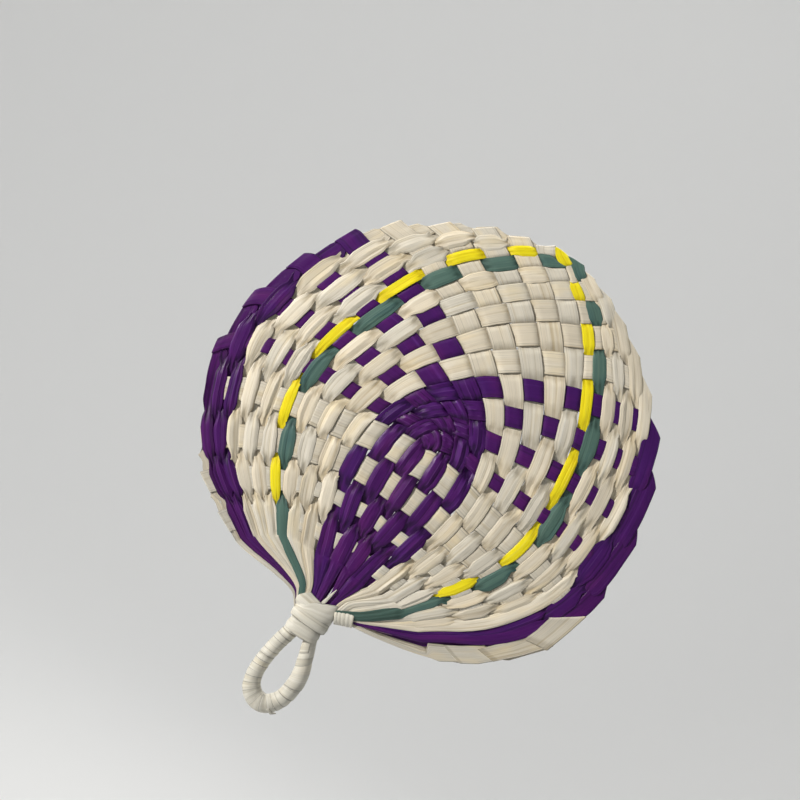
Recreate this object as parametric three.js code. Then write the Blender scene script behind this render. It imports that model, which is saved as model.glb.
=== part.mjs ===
// Plaited palm-strip hand fan with a wrapped loop handle.
//
// Frame (millimetres): +Z runs up the fan from the handle to the tip, +X to the right seen from
// the front, the front faces -Y. The origin is the middle of the loop handle, where it is held.
//
// The blade is a plain weave of 24 long strips around a three-way corner just below its middle.
// Lattice coordinates (a, b): strips of the left family run at constant a, strips of the right
// family at constant b, and the cross strips below the corner run at constant negative b on the
// left half and constant negative a on the right half. Every strip is folded at 45 degrees on the
// rim line a + b = RIM_SUM and returns to the neck, so both of its ends are bound there.

import * as THREE from 'three';

// ---------------------------------------------------------------- driving dimensions
const UNIT = 0.65;            // mm per drawing unit of the lattice tables below
const GRIP_U = -70;           // drawing height of the grip centre (the origin)
const RIM_SUM = 20;           // lattice rim line a + b
const STRIP_WIDTH = 15.0;     // widest a strip gets
const STRIP_FILL = 0.72;      // strip width as a share of the lattice pitch
const CORNER_FILL = 0.2;      // share of the half width left on the side of the three-way corner
const STRIP_THICK = 0.4;      // two-ply palm strip
const WEAVE_AMP = 1.5;        // strip centre above or below the sheet at a crossing
const FOLD_Y = 0.42;          // half distance between the two layers at a rim fold
const DISH = 5.0;             // how far the middle of the blade bulges to the front
const DISH_RADIUS = 150;
const TAIL_CUT = 0.62;        // share of the way from the last cross strip to the neck
const TAIL_FILL = 0.66;
const GATHER_THICK = 3.0;
const GAP = 0.45;
const LEFT_PURPLE = 4, LEFT_NATURAL = 5;
const RIGHT_PURPLE = 4, RIGHT_NATURAL = 5;
const CROSS = 4;
const LOOP_CORE_R = 3.4;
const LOOP_WRAP_R = 5.2;
const LOOP_WRAP_INNER_R = 3.75;
const NECK_DEPTH = 13.0;
const NECK_WALL = 1.4;

// ---------------------------------------------------------------- lattice table
// a, b, across, up: where lattice points of the weave lie, in drawing units from the neck.
const LATTICE = [
  [0, 0, 2, 197],
  [1.5, 1.5, 3, 226], [3.5, 3.5, 3, 265], [10, 10, 11, 436],
  [6, 4, -35, 303.6], [5, 4, -17.9, 295], [4, 4, 0, 280.7],
  [9, 5, -62.9, 354.3], [8, 5, -50.7, 348.6], [7, 5, -34.3, 339.3], [6, 5, -17.9, 327.9], [5, 5, 0.7, 313.6], [4, 5, 21, 294.3],
  [10, 6, -55.7, 384.3], [9, 6, -42.9, 377.1], [8, 6, -29.3, 370], [7, 6, -13.6, 358.6], [6, 6, 2.1, 345.7], [5, 6, 21.4, 329.3],
  [4, 6, 40.7, 308.3],
  [10, 7, -33.6, 404.3], [9, 7, -21.4, 395.7], [8, 7, -9, 387.1], [7, 7, 6.4, 377.1], [6, 7, 23.6, 360.7], [5, 7, 39.6, 342.1],
  [4, 7, 60, 317.1],
  [10, 8, -13.6, 420], [9, 8, 0, 411.4], [8, 8, 11.4, 402.1], [7, 8, 26.7, 389.3], [6, 8, 42.4, 374.3], [5, 8, 60, 354.3],
  [4, 8, 81.4, 327.9],
  [9, 9, 17.9, 423.6], [8, 9, 29.3, 414.3], [7, 9, 44.6, 402.1], [6, 9, 61.4, 383.6], [5, 9, 79.7, 363.6],
  [7, 10, 51.9, 406], [6, 10, 70.4, 389.7], [5, 10, 87.1, 367.1],
  [4.5, 0.5, -63, 202], [5.5, 0.5, -80, 204], [6.5, 0.5, -95, 200], [7.5, 0.5, -108, 203],
  [8.5, 0.5, -123, 200], [9.5, 0.5, -136, 200], [10.5, 0.5, -144, 197], [11.5, 0.5, -152, 198],
  [12.5, 0.5, -162, 193], [13.5, 0.5, -178, 198], [15.5, 0.5, -200, 190], [19.5, 0.5, -230, 167],
  [4.5, 1.5, -50, 237], [5.5, 1.5, -70, 236], [6.5, 1.5, -83, 240], [7.5, 1.5, -98, 237],
  [8.5, 1.5, -112, 240], [9.5, 1.5, -127, 240], [10.5, 1.5, -139, 240], [11.5, 1.5, -148, 236],
  [12.5, 1.5, -162, 235], [13.5, 1.5, -172, 235], [14.5, 1.5, -186, 235], [15.5, 1.5, -198, 233],
  [16.5, 1.5, -213, 235], [18.5, 1.5, -228, 226],
  [4.5, 2.5, -35, 258], [5.5, 2.5, -55, 268], [6.5, 2.5, -70, 273], [7.5, 2.5, -85, 277],
  [8.5, 2.5, -98, 280], [9.5, 2.5, -115, 278], [10.5, 2.5, -127, 278], [11.5, 2.5, -137, 278],
  [12.5, 2.5, -146, 282], [13.5, 2.5, -162, 280], [14.5, 2.5, -175, 280], [15.5, 2.5, -192, 283],
  [17.5, 2.5, -207, 283],
  [4.5, 3.5, -15, 280], [5.5, 3.5, -37, 292], [6.5, 3.5, -52, 300], [7.5, 3.5, -70, 310],
  [8.5, 3.5, -83, 314], [9.5, 3.5, -97, 318], [10.5, 3.5, -109, 318], [11.5, 3.5, -120, 322],
  [12.5, 3.5, -133, 322], [13.5, 3.5, -148, 327], [14.5, 3.5, -163, 325], [16.5, 3.5, -179, 330],
  [9.5, 4.5, -82, 343], [15.5, 4.5, -153, 362], [10.5, 5.5, -75, 379], [14.5, 5.5, -118, 389],
  [9.5, 6.5, -37, 392], [13.5, 6.5, -78, 412], [10.5, 7.5, -30, 415], [12.5, 7.5, -42, 424],
  [9.5, 8.5, 0, 420], [11.5, 8.5, -8, 431],
  [0.5, 4.5, 63, 205], [0.5, 5.5, 78, 204], [0.5, 6.5, 95, 204], [0.5, 7.5, 110, 203],
  [0.5, 8.5, 123, 203], [0.5, 9.5, 137, 202], [0.5, 10.5, 147, 205], [0.5, 11.5, 157, 201],
  [0.5, 13.5, 180, 198], [0.5, 15.5, 196, 194], [0.5, 19.5, 232, 175],
  [1.5, 4.5, 53, 236], [1.5, 5.5, 70, 240], [1.5, 6.5, 90, 243], [1.5, 7.5, 105, 245],
  [1.5, 8.5, 122, 247], [1.5, 9.5, 131, 248], [1.5, 10.5, 144, 247], [1.5, 11.5, 155, 247],
  [1.5, 12.5, 166, 247], [1.5, 13.5, 176, 246], [1.5, 14.5, 188, 245], [1.5, 15.5, 198, 245],
  [1.5, 18.5, 229, 240],
  [2.5, 5.5, 57, 268], [2.5, 7.5, 93, 281], [2.5, 9.5, 124, 287], [2.5, 10.5, 137, 285],
  [2.5, 11.5, 147, 290], [2.5, 13.5, 168, 292], [2.5, 17.5, 209, 300],
  [3.5, 4.5, 20, 284], [3.5, 6.5, 57, 303], [3.5, 8.5, 95, 318], [3.5, 9.5, 109, 320],
  [3.5, 10.5, 120, 325], [3.5, 12.5, 143, 330], [3.5, 16.5, 185, 342],
  [4.5, 10.5, 100, 360], [4.5, 15.5, 155, 372], [5.5, 9.5, 75, 377], [5.5, 14.5, 122, 397],
  [6.5, 10.5, 70, 402], [6.5, 13.5, 90, 415], [7.5, 9.5, 42, 410], [7.5, 12.5, 62, 426],
  [8.5, 10.5, 30, 425], [8.5, 11.5, 38, 432],
  [0.5, -0.5, -8, 180], [1.5, -0.5, -22, 180], [2.5, -0.5, -37, 179], [3.5, -0.5, -52, 178],
  [10.5, -0.5, -140, 158], [13.5, -0.5, -168, 149], [16.5, -0.5, -193, 138], [19.5, -0.5, -215, 122],
  [20.5, -0.5, -221, 114],
  [-0.5, 0.5, 6, 180], [-0.5, 1.5, 20, 180], [-0.5, 2.5, 36, 178], [-0.5, 3.5, 52, 177],
  [-0.5, 9.5, 137, 162], [-0.5, 13.5, 175, 153], [-0.5, 16.5, 198, 144], [-0.5, 18.5, 212, 136],
  [-0.5, 20.5, 225, 128],
  [0.5, -1.5, -8, 143], [2.5, -1.5, -37, 142], [9.5, -1.5, -118, 122], [13.5, -1.5, -152, 105],
  [16.5, -1.5, -173, 93], [19.5, -1.5, -191, 80], [21.5, -1.5, -200, 70],
  [-1.5, 1.5, 20, 142], [-1.5, 3.5, 50, 140], [-1.5, 10.5, 128, 125], [-1.5, 13.5, 155, 116],
  [-1.5, 16.5, 177, 108], [-1.5, 19.5, 198, 99], [-1.5, 21.5, 211, 92],
  [1.5, -2.5, -18, 108], [3.5, -2.5, -47, 106], [10.5, -2.5, -108, 86], [13.5, -2.5, -129, 74],
  [16.5, -2.5, -145, 63], [19.5, -2.5, -157, 52], [22.5, -2.5, -167, 41],
  [-2.5, 0.5, 3, 107], [-2.5, 2.5, 31, 105], [-2.5, 9.5, 105, 95], [-2.5, 12.5, 128, 86],
  [-2.5, 16.5, 151, 74], [-2.5, 19.5, 165, 65], [-2.5, 22.5, 177, 55],
  [0.5, -3.5, -4, 70], [3.5, -3.5, -30, 65], [9.5, -3.5, -80, 58], [13.5, -3.5, -99, 48],
  [16.5, -3.5, -110, 39], [19.5, -3.5, -119, 31], [23.5, -3.5, -127, 20],
  [-3.5, 1.5, 9, 65], [-3.5, 3.5, 32, 65], [-3.5, 10.5, 85, 63], [-3.5, 13.5, 100, 57],
  [-3.5, 16.5, 112, 50], [-3.5, 19.5, 123, 43], [-3.5, 23.5, 138, 32],
  [21.5, -0.5, -226, 109], [22.5, -1.5, -204, 64], [23.5, -2.5, -170, 37], [24, -4, -106, 11],
  [-0.5, 21.5, 231, 124], [-1.5, 22.5, 217, 88], [-2.5, 23.5, 181, 52], [-4, 24, 118, 21],
];
const LATTICE_SMOOTH = 0.8;

// Where the strip ends reach the neck: lattice column, across, up.
const NECK_LEFT = [[0, 0, 16], [3.5, -14, 15], [6, -21, 14], [9.5, -26, 11], [12, -27, 8], [16, -28, 5], [20, -28, 2], [24, -28, -2]];
const NECK_RIGHT = [[0, 2, 16], [3.5, 13, 16], [6, 20, 20], [9.5, 37.5, 18.5], [12, 38, 15], [16, 38, 11.5], [20, 38, 8.5], [24, 38, 5]];

// Centre line of the loop handle, from the left leg round to the right leg (across, up).
const LOOP_PATH = [[-13.5, -34], [-16.5, -50], [-18, -72], [-17.5, -92], [-11.5, -104.5], [0, -110],
  [10.5, -107], [18.5, -96], [21.5, -78], [20.5, -63], [16, -49], [10.5, -34]];

// ---------------------------------------------------------------- lattice map
// The corner of the weave takes three quarters of a turn of lattice all the way round, so lattice
// angles are stretched by 4/3 before a thin-plate map carries them to the measured positions.
function unfold(a, b) {
  const r = Math.hypot(a, b);
  const t = (Math.atan2(b, a) - Math.PI / 4) * 4 / 3;
  return [r * Math.sin(t), r * Math.cos(t)];
}

function solve(m, rhs) {
  const n = m.length;
  for (let c = 0; c < n; c++) {
    let p = c;
    for (let r = c + 1; r < n; r++) if (Math.abs(m[r][c]) > Math.abs(m[p][c])) p = r;
    [m[c], m[p]] = [m[p], m[c]];
    [rhs[c], rhs[p]] = [rhs[p], rhs[c]];
    for (let r = c + 1; r < n; r++) {
      const f = m[r][c] / m[c][c];
      if (f === 0) continue;
      for (let k = c; k < n; k++) m[r][k] -= f * m[c][k];
      rhs[r] = rhs[r].map((x, k) => x - f * rhs[c][k]);
    }
  }
  const out = Array.from({ length: n }, () => [0, 0]);
  for (let r = n - 1; r >= 0; r--) {
    for (let d = 0; d < 2; d++) {
      let s = rhs[r][d];
      for (let k = r + 1; k < n; k++) s -= m[r][k] * out[k][d];
      out[r][d] = s / m[r][r];
    }
  }
  return out;
}

const kernel = (d2) => (d2 < 1e-12 ? 0 : 0.5 * d2 * Math.log(d2));

function fitMap(rows, smooth) {
  const q = rows.map((r) => unfold(r[0], r[1]));
  const n = q.length;
  const m = [];
  const rhs = [];
  for (let i = 0; i < n; i++) {
    const row = [];
    for (let j = 0; j < n; j++) {
      row.push(kernel((q[i][0] - q[j][0]) ** 2 + (q[i][1] - q[j][1]) ** 2) + (i === j ? smooth : 0));
    }
    row.push(1, q[i][0], q[i][1]);
    m.push(row);
    rhs.push([rows[i][2], rows[i][3]]);
  }
  for (let k = 0; k < 3; k++) {
    const row = q.map((p) => (k === 0 ? 1 : p[k - 1]));
    row.push(0, 0, 0);
    m.push(row);
    rhs.push([0, 0]);
  }
  const w = solve(m, rhs);
  return (a, b) => {
    const [x, y] = unfold(a, b);
    const out = [0, 0];
    for (let d = 0; d < 2; d++) {
      let s = w[n][d] + w[n + 1][d] * x + w[n + 2][d] * y;
      for (let i = 0; i < n; i++) s += w[i][d] * kernel((x - q[i][0]) ** 2 + (y - q[i][1]) ** 2);
      out[d] = s;
    }
    return out;
  };
}

const drawing = fitMap(LATTICE, LATTICE_SMOOTH);

function table(rows, t) {
  let k = 0;
  while (k < rows.length - 2 && t > rows[k + 1][0]) k++;
  const f = (t - rows[k][0]) / (rows[k + 1][0] - rows[k][0]);
  return [rows[k][1] + f * (rows[k + 1][1] - rows[k][1]), rows[k][2] + f * (rows[k + 1][2] - rows[k][2])];
}

// Points in drawing units: on the lattice, or on a strip's tail (tail from 0 at the last cross
// strip to 1 at the neck; side -1 left, 1 right).
const TAIL_START = -4.0;
function tailPoint(side, c, t) {
  const at = (k) => (side < 0 ? drawing(c, k) : drawing(k, c));
  const p0 = at(TAIL_START);
  const back = at(TAIL_START + 0.4);
  const p1 = table(side < 0 ? NECK_LEFT : NECK_RIGHT, c);
  const len = Math.hypot(p1[0] - p0[0], p1[1] - p0[1]);
  const d0 = Math.hypot(p0[0] - back[0], p0[1] - back[1]) || 1;
  const goal = [0.25 * p1[0], -30];
  const d1 = Math.hypot(goal[0] - p1[0], goal[1] - p1[1]);
  const k0 = 0.55 * len, k1 = 0.35 * len;
  const out = [0, 0];
  for (let d = 0; d < 2; d++) {
    const m0 = (0.35 * (p0[d] - back[d]) / d0 + 0.65 * (p1[d] - p0[d]) / len) * k0 * 1.5;
    const m1 = (goal[d] - p1[d]) / d1 * k1 * 1.5;
    const t2 = t * t, t3 = t2 * t;
    out[d] = (2 * t3 - 3 * t2 + 1) * p0[d] + (t3 - 2 * t2 + t) * m0 + (-2 * t3 + 3 * t2) * p1[d] + (t3 - t2) * m1;
  }
  return out;
}

const toX = (v) => v * UNIT;
const toZ = (u) => (u - GRIP_U) * UNIT;
function dish(x, z) {
  const r2 = (x * x + (z - toZ(215)) ** 2) / (DISH_RADIUS * DISH_RADIUS);
  return -DISH * Math.max(0, 1 - r2);
}

// ---------------------------------------------------------------- strips
// A strip is a list of rings. Each ring has two rail points in drawing units, a height w of its
// middle above the sheet (front positive) and the direction of its first face: 'f' to the front,
// 'b' to the back (after a rim fold has turned the strip over), or an in-sheet vector on the fold.
const leftOnTop = (i, j) => (i + j) % 2 !== 0;

function pitch(a, b, dir) {
  const d = 0.5;
  const p = dir === 'a' ? drawing(a - d, b) : drawing(a, b - d);
  const q = dir === 'a' ? drawing(a + d, b) : drawing(a, b + d);
  return Math.hypot(p[0] - q[0], p[1] - q[1]) * UNIT;
}
const half = (a, b, dir) => Math.min(STRIP_FILL / 2, STRIP_WIDTH / 2 / pitch(a, b, dir));

// One crossing of a strip that runs at constant a ('a') or constant b ('b').
function crossing(run, a, b, onTop, flip) {
  const h = half(a, b, run);
  const [c, s] = run === 'a' ? [a, b] : [b, a];
  const tight = Math.abs(s) < 1 && Math.abs(c) < 1 ? CORNER_FILL : 1;   // strips next to the corner
  const inner = c > 0 ? h * tight : h, outer = c > 0 ? h : h * tight;
  const lo = run === 'a' ? drawing(a - inner, b) : drawing(a, b - inner);
  const hi = run === 'a' ? drawing(a + outer, b) : drawing(a, b + outer);
  return { l: flip ? hi : lo, r: flip ? lo : hi, w: onTop ? WEAVE_AMP : -WEAVE_AMP, n: flip ? 'b' : 'f' };
}

// The strip's end between the last cross strip and the gathered neck.
function tail(side, c, flip) {
  const h = TAIL_FILL / 2;
  return [0, TAIL_CUT * 0.5, TAIL_CUT].map((t) => {
    const lo = tailPoint(side, c - h, t), hi = tailPoint(side, c + h, t);
    return { l: flip ? hi : lo, r: flip ? lo : hi, w: 0, n: flip ? 'b' : 'f' };
  });
}

// 45 degree rim fold. The strip comes in at constant c while s grows to the rim, and leaves at
// constant s while c falls. incoming: 1 if the incoming layer lies on top, else -1.
function rimFold(run, c, s, incoming) {
  const P = (x, y) => (run === 'a' ? drawing(x, y) : drawing(y, x));
  const other = run === 'a' ? 'b' : 'a';
  const [a, b] = run === 'a' ? [c, s] : [s, c];
  const h = 0.96 * Math.min(half(a, b, run), half(a, b, other));
  const e = 0.1, d = 0.05, w = FOLD_Y * incoming;
  const p = P(c + 0.2, s + 0.2), q = P(c - 0.2, s - 0.2);
  const len = Math.hypot(p[0] - q[0], p[1] - q[1]);
  const out = [(p[0] - q[0]) / len * incoming, (p[1] - q[1]) / len * incoming];
  return [
    { l: P(c - h, s - h - e), r: P(c + h, s - h - e), w, n: 'f' },
    { l: P(c - h, s + h - d), r: P(c + h, s - h - d), w, n: 'f' },
    { l: P(c - h, s + h), r: P(c + h, s - h), w: 0, n: out },
    { l: P(c - h - d, s + h), r: P(c + h - d, s - h), w: -w, n: 'b' },
    { l: P(c - h - e, s + h), r: P(c - h - e, s - h), w: -w, n: 'b' },
  ];
}

// Half strip of the left family from its first crossing at b0 out to the rim and down the right.
function leftFamily(i, rings) {
  const a = i - 0.5;
  for (let k = CROSS; k >= 1; k--) rings.push(crossing('a', a, 0.5 - k, leftOnTop(i, 1 - k), false));
  for (let j = 1; j <= RIM_SUM - i; j++) rings.push(crossing('a', a, j - 0.5, leftOnTop(i, j), false));
  const j = RIM_SUM + 1 - i;
  rings.push(...rimFold('a', a, j - 0.5, 1));
  for (let k = i - 1; k >= 1; k--) rings.push(crossing('b', k - 0.5, j - 0.5, !leftOnTop(k, j), true));
  for (let k = 1; k <= CROSS; k++) rings.push(crossing('b', 0.5 - k, j - 0.5, !leftOnTop(1 - k, j), true));
  return j - 0.5;
}
function rightFamily(j, rings) {
  const b = j - 0.5;
  for (let k = CROSS; k >= 1; k--) rings.push(crossing('b', 0.5 - k, b, !leftOnTop(1 - k, j), false));
  for (let i = 1; i <= RIM_SUM - j; i++) rings.push(crossing('b', i - 0.5, b, !leftOnTop(i, j), false));
  const i = RIM_SUM + 1 - j;
  rings.push(...rimFold('b', b, i - 0.5, -1));
  for (let k = j - 1; k >= 1; k--) rings.push(crossing('a', i - 0.5, k - 0.5, leftOnTop(i, k), true));
  for (let k = 1; k <= CROSS; k++) rings.push(crossing('a', i - 0.5, 0.5 - k, leftOnTop(i, 1 - k), true));
  return i - 0.5;
}
// Cross strip k: half of it, from the middle to the rim and down.
function crossHalf(k, side) {
  const rings = [];
  const c = 0.5 - k;
  const n = RIM_SUM - 1 + k;
  for (let i = 1; i <= n; i++) {
    rings.push(side < 0 ? crossing('b', i - 0.5, c, !leftOnTop(i, 1 - k), false)
      : crossing('a', c, i - 0.5, leftOnTop(1 - k, i), false));
  }
  rings.push(...rimFold(side < 0 ? 'b' : 'a', c, n + 0.5, side < 0 ? -1 : 1));
  for (let m = k + 1; m <= CROSS; m++) {
    rings.push(side < 0 ? crossing('a', n + 0.5, 0.5 - m, leftOnTop(n + 1, 1 - m), true)
      : crossing('b', 0.5 - m, n + 0.5, !leftOnTop(1 - m, n + 1), true));
  }
  rings.push(...tail(side, n + 0.5, true));
  return rings;
}

// ---------------------------------------------------------------- solids from rings
function geometryFrom(points, faces) {
  let volume = 0;
  for (const [i, j, k] of faces) {
    const p = points[i], q = points[j], r = points[k];
    volume += p[0] * (q[1] * r[2] - q[2] * r[1]) - p[1] * (q[0] * r[2] - q[2] * r[0]) + p[2] * (q[0] * r[1] - q[1] * r[0]);
  }
  const index = [];
  for (const [i, j, k] of faces) index.push(i, ...(volume < 0 ? [k, j] : [j, k]));
  const g = new THREE.BufferGeometry();
  g.setAttribute('position', new THREE.Float32BufferAttribute(points.flat(), 3));
  g.setIndex(index);
  g.computeVertexNormals();
  return g;
}

function ribbon(rings, thick) {
  const points = [], faces = [];
  const t = thick / 2;
  for (const ring of rings) {
    for (const face of [1, -1]) {
      for (const rail of [ring.l, ring.r]) {
        let [v, u] = rail;
        let w = ring.w;
        if (ring.n === 'f') w += face * t;
        else if (ring.n === 'b') w -= face * t;
        else { v += ring.n[0] * face * t / UNIT; u += ring.n[1] * face * t / UNIT; }
        const x = toX(v), z = toZ(u);
        points.push([x, dish(toX(rail[0]), toZ(rail[1])) - w, z]);
      }
    }
  }
  const quad = (a, b, c, d) => faces.push([a, b, c], [a, c, d]);
  for (let k = 0; k < rings.length - 1; k++) {
    const p = 4 * k, q = p + 4;
    quad(p, p + 1, q + 1, q);            // first face
    quad(p + 2, q + 2, q + 3, p + 3);    // second face
    quad(p, q, q + 2, p + 2);            // left edge
    quad(p + 1, p + 3, q + 3, q + 1);    // right edge
  }
  const e = 4 * (rings.length - 1);
  quad(0, 2, 3, 1);
  quad(e, e + 1, e + 3, e + 2);
  return geometryFrom(points, faces);
}

// Tube, solid or hollow, along a plane path in X and Z.
function tube(path, outer, inner, sides) {
  const curve = new THREE.CatmullRomCurve3(path.map(([v, u]) => new THREE.Vector3(toX(v), 0, toZ(u))), false, 'centripetal');
  const n = 30;
  const points = [], faces = [];
  const radii = inner > 0 ? [outer, inner] : [outer];
  for (let k = 0; k <= n; k++) {
    const p = curve.getPointAt(k / n);
    const d = k === 0 ? new THREE.Vector3(0, 0, -1) : k === n ? new THREE.Vector3(0, 0, 1) : curve.getTangentAt(k / n);
    const side = new THREE.Vector3(d.z, 0, -d.x);
    for (const r of radii) {
      for (let s = 0; s < sides; s++) {
        const t = 2 * Math.PI * s / sides;
        points.push([p.x + side.x * r * Math.cos(t), r * Math.sin(t), p.z + side.z * r * Math.cos(t)]);
      }
    }
  }
  const ring = sides * radii.length;
  const at = (k, layer, s) => k * ring + layer * sides + (s % sides);
  const quad = (a, b, c, d) => faces.push([a, b, c], [a, c, d]);
  for (let s = 0; s < sides; s++) {
    for (let k = 0; k < n; k++) {
      quad(at(k, 0, s), at(k, 0, s + 1), at(k + 1, 0, s + 1), at(k + 1, 0, s));
      if (inner > 0) quad(at(k, 1, s), at(k + 1, 1, s), at(k + 1, 1, s + 1), at(k, 1, s + 1));
    }
    if (inner > 0) {
      quad(at(0, 0, s), at(0, 1, s), at(0, 1, s + 1), at(0, 0, s + 1));
      quad(at(n, 0, s), at(n, 0, s + 1), at(n, 1, s + 1), at(n, 1, s));
    } else if (s > 0 && s < sides - 1) {
      faces.push([at(0, 0, 0), at(0, 0, s + 1), at(0, 0, s)], [at(n, 0, 0), at(n, 0, s), at(n, 0, s + 1)]);
    }
  }
  return geometryFrom(points, faces);
}

// Plate with an outline in X and Z (drawing units), between two depths.
function plate(outline, y0, y1) {
  const shape = new THREE.Shape(outline.map(([v, u]) => new THREE.Vector2(toX(v), toZ(u))));
  const g = new THREE.ExtrudeGeometry(shape, { depth: y1 - y0, bevelEnabled: false });
  g.rotateX(Math.PI / 2);          // shape Y becomes Z, depth runs to -Y
  g.translate(0, y1, 0);
  return g;
}

// Sleeve of rounded rectangular section around an axis, between two positions on it.
function roundedRect(w, d, r, cls) {
  const s = new cls();
  s.moveTo(-w + r, -d);
  s.lineTo(w - r, -d);
  s.absarc(w - r, -d + r, r, -Math.PI / 2, 0, false);
  s.lineTo(w, d - r);
  s.absarc(w - r, d - r, r, 0, Math.PI / 2, false);
  s.lineTo(-w + r, d);
  s.absarc(-w + r, d - r, r, Math.PI / 2, Math.PI, false);
  s.lineTo(-w, -d + r);
  s.absarc(-w + r, -d + r, r, Math.PI, 1.5 * Math.PI, false);
  return s;
}
function sleeve(w, d, wall, length) {
  const shape = roundedRect(w, d, wall + 1.2, THREE.Shape);
  shape.holes.push(roundedRect(w - wall, d - wall, 0.5, THREE.Path));
  return new THREE.ExtrudeGeometry(shape, { depth: length, bevelEnabled: false, curveSegments: 5 });
}

// ---------------------------------------------------------------- the fan
const fan = new THREE.Group();
const leaf = (color, roughness) => new THREE.MeshStandardMaterial({ color, roughness, metalness: 0 });
const PURPLE = leaf(0x4b1e78, 0.5), NATURAL = leaf(0xe1d7c3, 0.65), TEAL = leaf(0x557a75, 0.6);
const YELLOW = leaf(0xebd714, 0.55), PALE = leaf(0xe1ded4, 0.65), CORD = leaf(0xcfc4ab, 0.8);

function add(name, geometry, material, parent = fan) {
  const mesh = new THREE.Mesh(geometry, material);
  mesh.name = name;
  parent.add(mesh);
  return mesh;
}

const blade = new THREE.Group();
fan.add(blade);
for (let i = 1; i <= LEFT_PURPLE + LEFT_NATURAL + 2; i++) {
  const rings = tail(-1, i - 0.5, false).reverse();
  const back = leftFamily(i, rings);
  rings.push(...tail(1, back, true));
  const n = i - LEFT_PURPLE;
  if (n <= 0) add(`purple_strip_left_${i}`, ribbon(rings, STRIP_THICK), PURPLE, blade);
  else if (n <= LEFT_NATURAL) add(`natural_strip_left_${n}`, ribbon(rings, STRIP_THICK), NATURAL, blade);
  else if (n === LEFT_NATURAL + 1) add('teal_strip', ribbon(rings, STRIP_THICK), TEAL, blade);
  else add('yellow_strip', ribbon(rings, STRIP_THICK), YELLOW, blade);
}
for (let j = 1; j <= RIGHT_PURPLE + RIGHT_NATURAL; j++) {
  const rings = tail(1, j - 0.5, false).reverse();
  const back = rightFamily(j, rings);
  rings.push(...tail(-1, back, true));
  const n = j - RIGHT_PURPLE;
  if (n <= 0) add(`purple_strip_right_${j}`, ribbon(rings, STRIP_THICK), PURPLE, blade);
  else add(`natural_strip_right_${n}`, ribbon(rings, STRIP_THICK), NATURAL, blade);
}
for (let k = 1; k <= CROSS; k++) {
  const rings = [...crossHalf(k, -1).reverse(), ...crossHalf(k, 1)];
  add(`cross_strip_${k}`, ribbon(rings, STRIP_THICK), NATURAL, blade);
}
for (const [side, name] of [[-1, 'left_gather'], [1, 'right_gather']]) {
  const rings = [];
  for (const c of [0.3, 2, 3.5, 5, 6, 7.5, 9.5, 12, 14, 16, 18, 20, 22, 23.9]) {
    rings.push({ l: tailPoint(side, c, TAIL_CUT + 0.02), r: tailPoint(side, c, 1), w: 0, n: 'f' });
  }
  add(name, ribbon(rings, GATHER_THICK), NATURAL, blade);
}

// Neck: bundles of strip ends, held by the wraps, the sash and the collar.
const handle = new THREE.Group();
fan.add(handle);
const coreHalf = NECK_DEPTH / 2 - NECK_WALL - 0.35;
add('left_neck_core', plate([[-1.2, 14], [-13.3, 13.2], [-19.6, 12.2], [-24.2, 9.4], [-25.2, 6.8], [-26, 4.2], [-26, 1.2],
  [-25.6, -3], [-17.3, -6], [-17.3, -32.5], [-2.1, -32.5], [-2.1, -6], [-1.2, 0]], -coreHalf, coreHalf), CORD, handle);
add('right_neck_core', plate([[0, 14], [12.8, 14], [18.8, 15.2], [35.8, 15.2], [36.2, 12], [36.2, 2.2], [20, 1.2],
  [14.3, -6], [14.3, -32.5], [-1.1, -32.5], [-1.1, -6], [0, 0]], -coreHalf, coreHalf), CORD, handle);
const neckX = toX(-1.5), neckHalf = 18.5 * UNIT;
for (const [name, u0, u1, grow] of [['neck_wrap_upper', -18.2, -7, 0.25], ['neck_wrap_lower', -33, -18.9, 0]]) {
  add(name, sleeve(neckHalf + grow, NECK_DEPTH / 2 + grow, NECK_WALL + grow, (u1 - u0) * UNIT), PALE, handle)
    .position.set(neckX, 0, toZ(u0));
}
add('neck_sash', plate([[-21, -6.2], [-22.5, 10.5], [-17, 12.5], [-8, 6], [0, 3], [9, 9], [15, 14], [17, 11], [17, -6.2]],
  -coreHalf - 1.45, -coreHalf - 0.35), PALE, handle);
const collar = add('right_collar', sleeve((17 + 0.4) / 2 * UNIT, coreHalf + 1.3, 0.9, 13.5 * UNIT), PALE, handle);
collar.rotation.y = Math.PI / 2;
collar.position.set(toX(21.5), 0, toZ(8.4));
add('loop_core', tube(LOOP_PATH, LOOP_CORE_R, 0, 12), CORD, handle);
add('loop_wrap', tube(LOOP_PATH, LOOP_WRAP_R, LOOP_WRAP_INNER_R, 14), PALE, handle);

export default fan;
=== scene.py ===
import math

import bpy
import numpy as np
from mathutils import Matrix, Vector

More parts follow.
